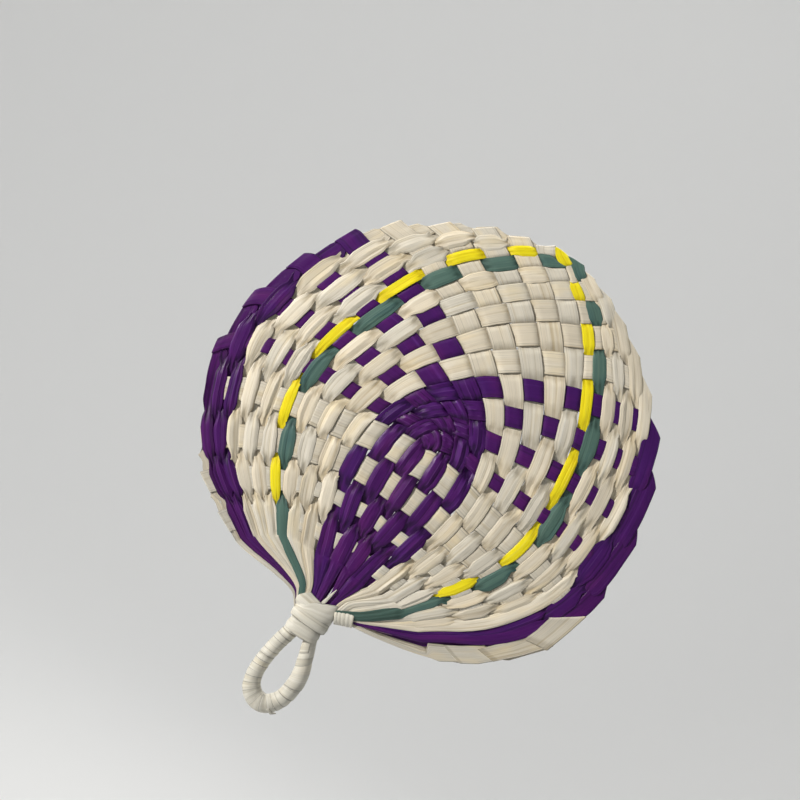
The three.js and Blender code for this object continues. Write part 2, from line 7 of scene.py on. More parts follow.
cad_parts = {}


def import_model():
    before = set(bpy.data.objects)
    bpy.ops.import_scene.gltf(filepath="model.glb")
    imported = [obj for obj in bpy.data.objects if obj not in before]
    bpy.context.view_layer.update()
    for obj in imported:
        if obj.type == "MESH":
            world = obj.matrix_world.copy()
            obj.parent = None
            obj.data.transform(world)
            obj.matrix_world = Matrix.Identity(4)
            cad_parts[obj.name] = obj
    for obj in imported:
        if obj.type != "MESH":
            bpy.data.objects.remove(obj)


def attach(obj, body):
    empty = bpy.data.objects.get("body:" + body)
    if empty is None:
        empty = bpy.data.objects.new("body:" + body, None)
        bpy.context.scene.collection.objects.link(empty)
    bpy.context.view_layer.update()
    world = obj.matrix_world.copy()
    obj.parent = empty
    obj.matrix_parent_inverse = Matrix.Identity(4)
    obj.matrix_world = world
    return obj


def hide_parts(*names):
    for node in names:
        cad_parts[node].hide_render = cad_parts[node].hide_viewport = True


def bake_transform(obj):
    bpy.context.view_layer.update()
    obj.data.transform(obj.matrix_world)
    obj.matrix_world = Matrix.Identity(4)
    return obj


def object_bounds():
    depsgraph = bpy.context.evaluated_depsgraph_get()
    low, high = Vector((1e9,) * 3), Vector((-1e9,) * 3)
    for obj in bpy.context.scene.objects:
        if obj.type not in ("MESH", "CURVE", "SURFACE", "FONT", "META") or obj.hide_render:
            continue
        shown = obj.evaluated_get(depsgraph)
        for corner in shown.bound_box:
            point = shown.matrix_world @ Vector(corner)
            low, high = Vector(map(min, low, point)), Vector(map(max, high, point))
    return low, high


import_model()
CAD_LO, CAD_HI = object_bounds()

# ------------------------------------------------------------------ dimensions
MM = 1e-3
UNIT = 0.65 * MM          # metres per drawing unit of the tables below
GRIP_U = -70.0            # drawing height of the grip centre, the origin
RIM_SUM = 20              # lattice rim line a + b
CROSS = 4
FULL = 24.0               # full strip width in drawing units
PLY = 0.26                # half thickness of a two-ply strip, mm
DISH = 5.0
DISH_RADIUS = 150.0
TAIL_START = -4.0
STEPS = 12                # stations for each crossing
LOOP_R = 4.95             # loop rope under its wrapping, mm

LATTICE = np.array([
    [0, 0, 2, 197],
    [1.5, 1.5, 3, 226], [3.5, 3.5, 3, 265], [10, 10, 11, 436],
    [4.5, 0.5, -63, 202], [5.5, 0.5, -80, 204], [6.5, 0.5, -95, 200], [7.5, 0.5, -108, 203],
    [8.5, 0.5, -123, 200], [9.5, 0.5, -136, 200], [10.5, 0.5, -144, 197], [11.5, 0.5, -152, 198],
    [12.5, 0.5, -162, 193], [13.5, 0.5, -178, 198], [15.5, 0.5, -200, 190], [19.5, 0.5, -230, 167],
    [4.5, 1.5, -50, 237], [5.5, 1.5, -70, 236], [6.5, 1.5, -83, 240], [7.5, 1.5, -98, 237],
    [8.5, 1.5, -112, 240], [9.5, 1.5, -127, 240], [10.5, 1.5, -139, 240], [11.5, 1.5, -148, 236],
    [12.5, 1.5, -162, 235], [13.5, 1.5, -172, 235], [14.5, 1.5, -186, 235], [15.5, 1.5, -198, 233],
    [16.5, 1.5, -213, 235], [18.5, 1.5, -228, 226],
    [4.5, 2.5, -35, 258], [5.5, 2.5, -55, 268], [6.5, 2.5, -70, 273], [7.5, 2.5, -85, 277],
    [8.5, 2.5, -98, 280], [9.5, 2.5, -115, 278], [10.5, 2.5, -127, 278], [11.5, 2.5, -137, 278],
    [12.5, 2.5, -146, 282], [13.5, 2.5, -162, 280], [14.5, 2.5, -175, 280], [15.5, 2.5, -192, 283],
    [17.5, 2.5, -207, 283],
    [4.5, 3.5, -15, 280], [5.5, 3.5, -37, 292], [6.5, 3.5, -52, 300], [7.5, 3.5, -70, 310],
    [8.5, 3.5, -83, 314], [9.5, 3.5, -97, 318], [10.5, 3.5, -109, 318], [11.5, 3.5, -120, 322],
    [12.5, 3.5, -133, 322], [13.5, 3.5, -148, 327], [14.5, 3.5, -163, 325], [16.5, 3.5, -179, 330],
    [9.5, 4.5, -82, 343], [15.5, 4.5, -153, 362], [10.5, 5.5, -75, 379], [14.5, 5.5, -118, 389],
    [9.5, 6.5, -37, 392], [13.5, 6.5, -78, 412], [10.5, 7.5, -30, 415], [12.5, 7.5, -42, 424],
    [9.5, 8.5, 0, 420], [11.5, 8.5, -8, 431],
    [0.5, 4.5, 63, 205], [0.5, 5.5, 78, 204], [0.5, 6.5, 95, 204], [0.5, 7.5, 110, 203],
    [0.5, 8.5, 123, 203], [0.5, 9.5, 137, 202], [0.5, 10.5, 147, 205], [0.5, 11.5, 157, 201],
    [0.5, 13.5, 180, 198], [0.5, 15.5, 196, 194], [0.5, 19.5, 232, 175],
    [1.5, 4.5, 53, 236], [1.5, 5.5, 70, 240], [1.5, 6.5, 90, 243], [1.5, 7.5, 105, 245],
    [1.5, 8.5, 122, 247], [1.5, 9.5, 131, 248], [1.5, 10.5, 144, 247], [1.5, 11.5, 155, 247],
    [1.5, 12.5, 166, 247], [1.5, 13.5, 176, 246], [1.5, 14.5, 188, 245], [1.5, 15.5, 198, 245],
    [1.5, 18.5, 229, 240],
    [2.5, 5.5, 57, 268], [2.5, 7.5, 93, 281], [2.5, 9.5, 124, 287], [2.5, 10.5, 137, 285],
    [2.5, 11.5, 147, 290], [2.5, 13.5, 168, 292], [2.5, 17.5, 209, 300],
    [3.5, 4.5, 20, 284], [3.5, 6.5, 57, 303], [3.5, 8.5, 95, 318], [3.5, 9.5, 109, 320],
    [3.5, 10.5, 120, 325], [3.5, 12.5, 143, 330], [3.5, 16.5, 185, 342],
    [4.5, 10.5, 100, 360], [4.5, 15.5, 155, 372], [5.5, 9.5, 75, 377], [5.5, 14.5, 122, 397],
    [6.5, 10.5, 70, 402], [6.5, 13.5, 90, 415], [7.5, 9.5, 42, 410], [7.5, 12.5, 62, 426],
    [8.5, 10.5, 30, 425], [8.5, 11.5, 38, 432],
    [0.5, -0.5, -8, 180], [1.5, -0.5, -22, 180], [2.5, -0.5, -37, 179], [3.5, -0.5, -52, 178],
    [10.5, -0.5, -140, 158], [13.5, -0.5, -168, 149], [16.5, -0.5, -193, 138], [19.5, -0.5, -215, 122],
    [20.5, -0.5, -221, 114],
    [-0.5, 0.5, 6, 180], [-0.5, 1.5, 20, 180], [-0.5, 2.5, 36, 178], [-0.5, 3.5, 52, 177],
    [-0.5, 9.5, 137, 162], [-0.5, 13.5, 175, 153], [-0.5, 16.5, 198, 144], [-0.5, 18.5, 212, 136],
    [-0.5, 20.5, 225, 128],
    [0.5, -1.5, -8, 143], [2.5, -1.5, -37, 142], [9.5, -1.5, -118, 122], [13.5, -1.5, -152, 105],
    [16.5, -1.5, -173, 93], [19.5, -1.5, -191, 80], [21.5, -1.5, -200, 70],
    [-1.5, 1.5, 20, 142], [-1.5, 3.5, 50, 140], [-1.5, 10.5, 128, 125], [-1.5, 13.5, 155, 116],
    [-1.5, 16.5, 177, 108], [-1.5, 19.5, 198, 99], [-1.5, 21.5, 211, 92],
    [1.5, -2.5, -18, 108], [3.5, -2.5, -47, 106], [10.5, -2.5, -108, 86], [13.5, -2.5, -129, 74],
    [16.5, -2.5, -145, 63], [19.5, -2.5, -157, 52], [22.5, -2.5, -167, 41],
    [-2.5, 0.5, 3, 107], [-2.5, 2.5, 31, 105], [-2.5, 9.5, 105, 95], [-2.5, 12.5, 128, 86],
    [-2.5, 16.5, 151, 74], [-2.5, 19.5, 165, 65], [-2.5, 22.5, 177, 55],
    [0.5, -3.5, -4, 70], [3.5, -3.5, -30, 65], [9.5, -3.5, -80, 58], [13.5, -3.5, -99, 48],
    [16.5, -3.5, -110, 39], [19.5, -3.5, -119, 31], [23.5, -3.5, -127, 20],
    [-3.5, 1.5, 9, 65], [-3.5, 3.5, 32, 65], [-3.5, 10.5, 85, 63], [-3.5, 13.5, 100, 57],
    [-3.5, 16.5, 112, 50], [-3.5, 19.5, 123, 43], [-3.5, 23.5, 138, 32],
    [21.5, -0.5, -226, 109], [22.5, -1.5, -204, 64], [23.5, -2.5, -170, 37], [24, -4, -106, 11],
    [-0.5, 21.5, 231, 124], [-1.5, 22.5, 217, 88], [-2.5, 23.5, 181, 52], [-4, 24, 118, 21],
], float)
SQUARES = np.array([                    # corners of the flat squares below the tip
    [6, 4, -35, 303.6], [5, 4, -17.9, 295], [4, 4, 0, 280.7],
    [9, 5, -62.9, 354.3], [8, 5, -50.7, 348.6], [7, 5, -34.3, 339.3], [6, 5, -17.9, 327.9], [5, 5, 0.7, 313.6], [4, 5, 21, 294.3],
    [10, 6, -55.7, 384.3], [9, 6, -42.9, 377.1], [8, 6, -29.3, 370], [7, 6, -13.6, 358.6], [6, 6, 2.1, 345.7], [5, 6, 21.4, 329.3],
    [4, 6, 40.7, 308.3],
    [10, 7, -33.6, 404.3], [9, 7, -21.4, 395.7], [8, 7, -9, 387.1], [7, 7, 6.4, 377.1], [6, 7, 23.6, 360.7], [5, 7, 39.6, 342.1],
    [4, 7, 60, 317.1],
    [10, 8, -13.6, 420], [9, 8, 0, 411.4], [8, 8, 11.4, 402.1], [7, 8, 26.7, 389.3], [6, 8, 42.4, 374.3], [5, 8, 60, 354.3],
    [4, 8, 81.4, 327.9],
    [9, 9, 17.9, 423.6], [8, 9, 29.3, 414.3], [7, 9, 44.6, 402.1], [6, 9, 61.4, 383.6], [5, 9, 79.7, 363.6],
    [7, 10, 51.9, 406], [6, 10, 70.4, 389.7], [5, 10, 87.1, 367.1],
], float)
LATTICE_SMOOTH = 0.8
NECK_LEFT = np.array([[0, 0, 16], [3.5, -14, 15], [6, -21, 14], [9.5, -26, 11], [12, -27, 8], [16, -28, 5], [20, -28, 2],
                      [24, -28, -2]], float)
NECK_RIGHT = np.array([[0, 2, 16], [3.5, 13, 16], [6, 20, 20], [9.5, 37.5, 18.5], [12, 38, 15], [16, 38, 11.5],
                       [20, 38, 8.5], [24, 38, 5]], float)
LOOP_PATH = np.array([[-10.5, -25], [-11.4, -34], [-15.4, -50], [-18.3, -72], [-17.4, -91], [-11.5, -103.5], [-0.5, -109.5], [10, -106.5],
                      [18.5, -95], [22, -78], [20.9, -63], [16.6, -49], [11.6, -34], [9.3, -25]], float)


# ------------------------------------------------------------------ lattice map
def smooth(x, lo=0.0, hi=1.0):
    x = np.clip((np.asarray(x, float) - lo) / (hi - lo), 0, 1)
    return x * x * (3 - 2 * x)


def unfold(a, b):
    r = np.hypot(a, b)
    t = np.arctan2(b, a)
    t = np.where(t < -0.75 * math.pi, t + 2 * math.pi, t)
    t = (t - math.pi / 4) * 4 / 3
    return r * np.sin(t), r * np.cos(t)


def kernel(d2):
    return np.where(d2 < 1e-12, 0.0, 0.5 * d2 * np.log(np.maximum(d2, 1e-12)))


def settle(a, b):
    """Lattice place with the folds at the rim drawn inwards, where they overlap."""
    inset = (0.6 - 0.34 * np.exp(-((a - b) / 6) ** 2)) * smooth(a + b, 14.5, 20)
    left = smooth(a - b, -3, 3)
    return a - inset * left, b - inset * (1 - left)


KNOWN = np.vstack([LATTICE, np.column_stack([*settle(SQUARES[:, 0], SQUARES[:, 1]), SQUARES[:, 2:]])])
QX, QY = unfold(KNOWN[:, 0], KNOWN[:, 1])


def fit():
    n = len(QX)
    m = np.zeros((n + 3, n + 3))
    m[:n, :n] = kernel((QX[:, None] - QX[None]) ** 2 + (QY[:, None] - QY[None]) ** 2) + LATTICE_SMOOTH * np.eye(n)
    m[:n, n], m[:n, n + 1], m[:n, n + 2] = 1, QX, QY
    m[n:, :n] = m[:n, n:].T
    rhs = np.zeros((n + 3, 2))
    rhs[:n] = KNOWN[:, 2:]
    return np.linalg.solve(m, rhs)


WEIGHTS = fit()


def drawing(a, b):
    """Lattice point to drawing units, as an array with a last axis (across, up)."""
    a, b = np.broadcast_arrays(np.asarray(a, float), np.asarray(b, float))
    x, y = unfold(*settle(a.ravel(), b.ravel()))
    n = len(QX)
    k = kernel((x[:, None] - QX[None]) ** 2 + (y[:, None] - QY[None]) ** 2)
    out = k @ WEIGHTS[:n] + WEIGHTS[n] + np.outer(x, WEIGHTS[n + 1]) + np.outer(y, WEIGHTS[n + 2])
    return out.reshape(a.shape + (2,))


def at(kind, c, s):
    """Point of a strip that runs at constant a ('a') or constant b ('b')."""
    return drawing(c, s) if kind == "a" else drawing(s, c)


def length(v):
    return np.sqrt((v * v).sum(-1))


def tail_point(side, c, t):
    c, t = np.broadcast_arrays(np.asarray(c, float), np.asarray(t, float))
    kind = "a" if side < 0 else "b"
    p0 = at(kind, c, np.full_like(c, TAIL_START))
    back = at(kind, c, np.full_like(c, TAIL_START + 0.4))
    rows = NECK_LEFT if side < 0 else NECK_RIGHT
    p1 = np.stack([np.interp(c, rows[:, 0], rows[:, 1]), np.interp(c, rows[:, 0], rows[:, 2])], -1)
    run = length(p1 - p0)[..., None]
    lead = (p0 - back) / np.maximum(length(p0 - back)[..., None], 1e-6)
    goal = np.stack([0.25 * p1[..., 0], np.full_like(c, -30.0)], -1) - p1
    goal = goal / length(goal)[..., None]
    if side > 0:
        sleeve = np.array([14.0, 3.5]) - p1
        k = smooth(c, 6, 9.5)[..., None]
        goal = goal * (1 - k) + sleeve / length(sleeve)[..., None] * k
    m0 = (0.35 * lead + 0.65 * (p1 - p0) / run) * 0.55 * run * 1.5
    m1 = goal * 0.35 * run * 1.5
    past = np.minimum(np.maximum(0, t - 1) * 80.0, (p1[..., 1] + 24.0) / np.maximum(-goal[..., 1], 0.3))[..., None]
    t = np.minimum(t, 1)[..., None]
    t2, t3 = t * t, t * t * t
    return goal * past + (2 * t3 - 3 * t2 + 1) * p0 + (t3 - 2 * t2 + t) * m0 + (-2 * t3 + 3 * t2) * p1 + (t3 - t2) * m1


def world(p, w):
    """Drawing units and a height w in mm above the sheet (front positive) to metres."""
    x = p[..., 0] * UNIT
    z = (p[..., 1] - GRIP_U) * UNIT
    xm, zm = x / MM, z / MM
    r2 = (xm ** 2 + (zm - (215 - GRIP_U) * 0.65) ** 2) / DISH_RADIUS ** 2
    y = -DISH * np.maximum(0, 1 - r2) - w
    return np.stack([x, y * MM, z], -1)


class Wobble:
    """Smooth repeatable noise along a line."""

    def __init__(self, seed):
        self.v = np.random.RandomState(seed).uniform(-1, 1, 257)

    def __call__(self, x):
        x = np.asarray(x, float) + 64
        i = np.floor(x).astype(int)
        f = x - i
        f = f * f * (3 - 2 * f)
        return self.v[i % 256] * (1 - f) + self.v[(i + 1) % 256] * f


# ------------------------------------------------------------------ meshes
def link(ob):
    bpy.context.scene.collection.objects.link(ob)
    return ob


def sheet_object(name, p, half, across, along, painted_shade_and_highlight=None, closed=False, creases=()):
    """A closed thin solid around a grid of mid-surface points p (stations, columns, 3). half is the half
    thickness in metres, 0 at the two long edges. closed joins the last station to the first."""
    n, m = p.shape[:2]
    if closed:
        ds = np.roll(p, -1, 0) - np.roll(p, 1, 0)
    else:
        ds = np.gradient(p, axis=0)
    dt = np.gradient(p, axis=1)
    nor = np.cross(ds, dt)
    nor /= np.maximum(np.linalg.norm(nor, axis=-1, keepdims=True), 1e-12)
    half = np.broadcast_to(half, (n, m)).copy()
    half[:, 0] = half[:, -1] = 0
    top = p + nor * half[..., None]
    low = (p - nor * half[..., None])[:, 1:-1]
    verts = np.concatenate([top.reshape(-1, 3), low.reshape(-1, 3)])
    ti = np.arange(n * m).reshape(n, m)
    bi = np.concatenate([ti[:, :1], n * m + np.arange(n * (m - 2)).reshape(n, m - 2), ti[:, -1:]], 1)
    if closed:
        a0, a1 = np.arange(n), (np.arange(n) + 1) % n
    else:
        a0, a1 = np.arange(n - 1), np.arange(1, n)
    t_faces = np.stack([ti[a0][:, :-1], ti[a1][:, :-1], ti[a1][:, 1:], ti[a0][:, 1:]], -1).reshape(-1, 4)
    b_faces = np.stack([bi[a0][:, :-1], bi[a0][:, 1:], bi[a1][:, 1:], bi[a1][:, :-1]], -1).reshape(-1, 4)
    faces = [tuple(f) for f in np.concatenate([t_faces, b_faces]).tolist()]
    if not closed:
        for j in range(m - 1):
            for row, turn in ((0, 1), (n - 1, -1)):
                loop = [ti[row, j], ti[row, j + 1], bi[row, j + 1], bi[row, j]]
                loop = [int(x) for k, x in enumerate(loop) if x not in loop[:k]]
                faces.append(tuple(loop[::turn]))
    me = bpy.data.meshes.new(name)
    me.from_pydata(verts.tolist(), [], faces)
    uv = np.stack(np.broadcast_arrays(np.asarray(across, float), np.asarray(along, float)), -1)
    uv = np.broadcast_to(uv, (n, m, 2))
    vuv = np.concatenate([uv.reshape(-1, 2), uv[:, 1:-1].reshape(-1, 2)])
    layer = me.uv_layers.new(name="strip")
    idx = np.zeros(len(me.loops), np.int32)
    me.loops.foreach_get("vertex_index", idx)
    layer.data.foreach_set("uv", vuv[idx].astype(np.float32).ravel())
    # per-point values for painted shade (negative) and painted highlight (positive), read by the leaf material
    if painted_shade_and_highlight is None:
        painted_shade_and_highlight = np.zeros((n, m))
    vr = np.concatenate([painted_shade_and_highlight.reshape(-1), painted_shade_and_highlight[:, 1:-1].reshape(-1)])
    me.attributes.new("painted_shade_and_highlight", "FLOAT", "POINT").data.foreach_set("value", vr.astype(np.float32))
    me.polygons.foreach_set("use_smooth", np.ones(len(me.polygons), bool))
    if len(creases):
        column = np.concatenate([np.tile(np.arange(m), n), np.tile(np.arange(1, m - 1), n)])
        ends = np.zeros(2 * len(me.edges), np.int32)
        me.edges.foreach_get("vertices", ends)
        ends = column[ends].reshape(-1, 2)
        sharp = (ends[:, 0] == ends[:, 1]) & np.isin(ends[:, 0], creases)
        me.attributes.new("sharp_edge", "BOOLEAN", "EDGE").data.foreach_set("value", sharp)
    me.update()
    return link(bpy.data.objects.new(name + "_leaf", me))


# ------------------------------------------------------------------ materials
def srgb(r, g, b):
    return tuple(((c / 255) / 12.92 if c / 255 <= 0.04045 else ((c / 255 + 0.055) / 1.055) ** 2.4) for c in (r, g, b))


def leaf(name, base, dark, light, rough=(0.42, 0.62), spec=0.35, seed=0.0, fibre=0.5, hem=0.72, ridge=None,
         patch=None, length_scale=1.0, edge_shade=(0.05, 0.4)):
    """Dried palm leaf: lengthwise fibres, slow patches, a hem line along both edges, painted shade at the edges and in
    the creases, and a painted highlight on the ridges.
    """
    m = bpy.data.materials.new(name)
    m.use_nodes = True
    nt = m.node_tree
    nt.nodes.clear()
    N, L = nt.nodes.new, nt.links.new

    def node(kind, **values):
        nd = N(kind)
        for k, v in values.items():
            setattr(nd, k, v)
        return nd

    out = node("ShaderNodeOutputMaterial")
    bsdf = node("ShaderNodeBsdfPrincipled")
    L(bsdf.outputs["BSDF"], out.inputs["Surface"])
    bsdf.inputs["Specular IOR Level"].default_value = spec
    uv = node("ShaderNodeUVMap", uv_map="strip")
    sep = node("ShaderNodeSeparateXYZ")
    L(uv.outputs["UV"], sep.inputs["Vector"])

    def noise(sx, sy, detail, roughness, shift):
        mp = node("ShaderNodeMapping")
        mp.inputs["Scale"].default_value = (sx, sy * length_scale, 1)
        mp.inputs["Location"].default_value = (shift, shift * 1.7, seed * 3.1 + shift)
        L(uv.outputs["UV"], mp.inputs["Vector"])
        nz = node("ShaderNodeTexNoise", noise_dimensions="3D")
        nz.inputs["Scale"].default_value = 1
        nz.inputs["Detail"].default_value = detail
        nz.inputs["Roughness"].default_value = roughness
        L(mp.outputs["Vector"], nz.inputs["Vector"])
        return nz.outputs["Fac"]

    def ramp(fac, stops):
        r = node("ShaderNodeValToRGB")
        els = r.color_ramp.elements
        while len(els) < len(stops):
            els.new(0.5)
        for e, (pos, col) in zip(els, stops):
            e.position = pos
            e.color = (*col, 1) if len(col) == 3 else col
        L(fac, r.inputs["Fac"])
        return r.outputs["Color"]

    def mix(mode, fac, a, b):
        x = node("ShaderNodeMix", data_type="RGBA", blend_type=mode)
        if isinstance(fac, float):
            x.inputs["Factor"].default_value = fac
        else:
            L(fac, x.inputs["Factor"])
        L(a, x.inputs[6])
        if isinstance(b, tuple):
            x.inputs[7].default_value = (*b, 1)
        else:
            L(b, x.inputs[7])
        return x.outputs[2]

    def span(value, lo, hi, to0, to1):
        r = node("ShaderNodeMapRange")
        for k, v in (("From Min", lo), ("From Max", hi), ("To Min", to0), ("To Max", to1)):
            r.inputs[k].default_value = v
        L(value, r.inputs["Value"])
        return r.outputs["Result"]

    broad = noise(5.5, 0.09, 3, 0.55, 1.3)
    fine = noise(44.0, 0.28, 2, 0.55, 4.1)
    slow = noise(1.3, 0.45, 2, 0.5, 8.7)
    col = ramp(broad, [(0.25, dark), (0.45, base), (0.60, base), (0.78, light)])
    grain = ramp(fine, [(0.27, (1.0 - 0.34 * fibre,) * 3), (0.43, (1, 1, 1)), (0.8, (1.0 + 0.05 * fibre,) * 3)])
    col = mix("MULTIPLY", 1.0, col, grain)
    streak = noise(17.0, 0.13, 4, 0.6, 12.3)
    col = mix("MULTIPLY", 1.0, col, ramp(streak, [(0.30, (1.0 - 0.30 * fibre,) * 3), (0.40, (1, 1, 1)), (0.9, (1, 1, 1))]))
    if patch is not None:
        col = mix("MIX", span(slow, 0.52, 0.72, 0.0, 0.55), col, patch)
    shade = ramp(slow, [(0.3, (0.90, 0.90, 0.90)), (0.7, (1.07, 1.07, 1.07))])
    col = mix("MULTIPLY", 1.0, col, shade)
    # hem line of the folded edge, and painted shade darkening the outermost edges of the strip
    edge = ramp(sep.outputs["X"], [(0.0, (edge_shade[1],) * 3), (edge_shade[0], (1, 1, 1)), (0.09, (1, 1, 1)), (0.11, (hem,) * 3),
                                   (0.13, (1, 1, 1)), (0.87, (1, 1, 1)), (0.89, (hem,) * 3), (0.91, (1, 1, 1)),
                                   (1.0 - edge_shade[0], (1, 1, 1)), (1.0, (edge_shade[1],) * 3)])
    col = mix("MULTIPLY", 0.8, col, edge)
    # painted shade: the colour darkens where the per-point values are negative, in creases, at lens ends and on
    # stretches behind crossings
    at_ = node("ShaderNodeAttribute", attribute_name="painted_shade_and_highlight")
    col = mix("MULTIPLY", span(at_.outputs["Fac"], -0.12, -1.0, 0.0, 0.8), col, tuple(0.55 * c + 0.25 for c in base))
    # painted highlight: the ridge colour is mixed in on the crease ridges
    if ridge is not None:
        col = mix("MIX", span(at_.outputs["Fac"], 0.4, 1.0, 0.0, 0.35), col, ridge)
    L(col, bsdf.inputs["Base Color"])
    L(span(broad, 0.3, 0.7, rough[1], rough[0]), bsdf.inputs["Roughness"])
    b1 = node("ShaderNodeBump")
    b1.inputs["Strength"].default_value = 0.6
    b1.inputs["Distance"].default_value = 0.00012
    L(fine, b1.inputs["Height"])
    b2 = node("ShaderNodeBump")
    b2.inputs["Strength"].default_value = 0.6
    b2.inputs["Distance"].default_value = 0.00048
    L(broad, b2.inputs["Height"])
    L(b1.outputs["Normal"], b2.inputs["Normal"])
    L(b2.outputs["Normal"], bsdf.inputs["Normal"])
    return m


def tinted(colour, f, warm=0.0):
    return tuple(min(1.0, max(0.0, c * f * (1 + warm * k))) for c, k in zip(colour, (0.6, 0.0, -1.0)))


CREAM = srgb(225, 216, 197)
CREAM_DARK = srgb(196, 180, 148)
CREAM_LIGHT = srgb(240, 234, 219)
tone = np.random.RandomState(7)


def natural(name, k, shade=1.0, tan=0.0, vary=1.0):
    f, warm = shade * (1 + 0.05 * vary * tone.randn()), 0.035 * vary * tone.randn() + 0.02 + tan
    return leaf(name, tinted(CREAM, f, warm), tinted(CREAM_DARK, f, warm * 1.4), tinted(CREAM_LIGHT, f, warm),
                rough=(0.40, 0.62), spec=0.32, seed=float(k), fibre=0.62, hem=0.66,
                patch=tinted(srgb(222, 206, 168), 1.0, 0.03), edge_shade=(0.05, 0.3))


def purple(name, k, blue):
    base = np.array(srgb(78, 17, 94)) * (1 - blue) + np.array(srgb(60, 18, 100)) * blue
    dark = np.array(srgb(40, 9, 52)) * (1 - blue) + np.array(srgb(31, 10, 58)) * blue
    light = np.array(srgb(98, 42, 120)) * (1 - blue) + np.array(srgb(80, 42, 128)) * blue
    # ridge is the painted highlight colour on the crease ridges
    return leaf(name, tuple(base), tuple(dark), tuple(light), rough=(0.34, 0.50), spec=0.27, seed=float(k), fibre=0.6,
                hem=0.62, ridge=srgb(118, 70, 146), patch=tuple(np.array(srgb(88, 24, 96))))


# ------------------------------------------------------------------ strips
T = np.array([-1, -0.965, -0.90, -0.80, -0.66, -0.54, -0.42, -0.30, -0.18, -0.06, 0.06, 0.17, 0.28, 0.38, 0.49, 0.60, 0.70,
              0.80, 0.90, 0.965, 1.0])
EDGE = np.sqrt(np.clip(1 - (np.clip(np.abs(T) - 0.90, 0, 1) / 0.10) ** 2, 0, 1))
ACROSS = (T + 1) / 2
FOLDS = np.array([-1, -0.54, 0.06, 0.49, 1.0])     # lengthwise creases, flat facets between them
KNOTS = np.array([np.interp(T, FOLDS, row) for row in np.eye(len(FOLDS))])
CREASED = [int(np.argmin(np.abs(T - f))) for f in FOLDS[1:-1]]
RIDGE = np.zeros((len(FOLDS), len(T)))
for f in range(1, len(FOLDS) - 1):
    near = (FOLDS[f + 1] - FOLDS[f]) / (FOLDS[f + 1] - FOLDS[f - 1])
    RIDGE[f - 1:f + 2, CREASED[f - 1]] = (-near, 1, near - 1)


def tri(x):
    """Wave with straight flanks, -1 to 1."""
    return 2 / math.pi * np.arcsin(np.sin(x))


def widths(own, cross, full):
    """How a strip lies at a lattice place: own and cross are the pitch across and along it, full its width."""
    sig = own / FULL
    lane = np.clip((cross / own - 1.1) / 1.1, 0, 1)
    scr = np.clip((0.93 - sig) / 0.40, 0, 1)
    rim = np.clip((0.54 - sig) / 0.16, 0, 1) * lane
    wide = np.clip((sig - 1) / 0.25, 0, 1)
    waist = np.minimum(0.50 - 0.11 * np.clip((0.56 - sig) / 0.14, 0, 1) * lane + 0.10 * rim, full / 2 / own)
    spread = 18.8 + 1.5 * rim + (np.maximum(full, 18.8) - 18.8) * wide
    plat = np.maximum(waist, np.minimum(np.minimum(full, spread), 2.4 * own) / 2 / own)
    return lane, scr, rim, waist, plat


def side_of(kind, c, k, last=99):
    """1 where a strip lies in front at its crossing k (run coordinate k + 0.5), -1 behind. It stays on its side
    from the last crossing before the rim fold, and from the last cross strip down."""
    low = -2 if kind == "b" and 16 < c < 20 else -4
    over = (np.asarray(k) <= -2) & (kind == "b" and 15 < c < 16)
    k = np.clip(np.asarray(k), low, last)
    f = np.where((np.round(c + k + 1.5).astype(int) % 2 == 0) | over, 1.0, -1.0)
    return -f if kind == "a" else f


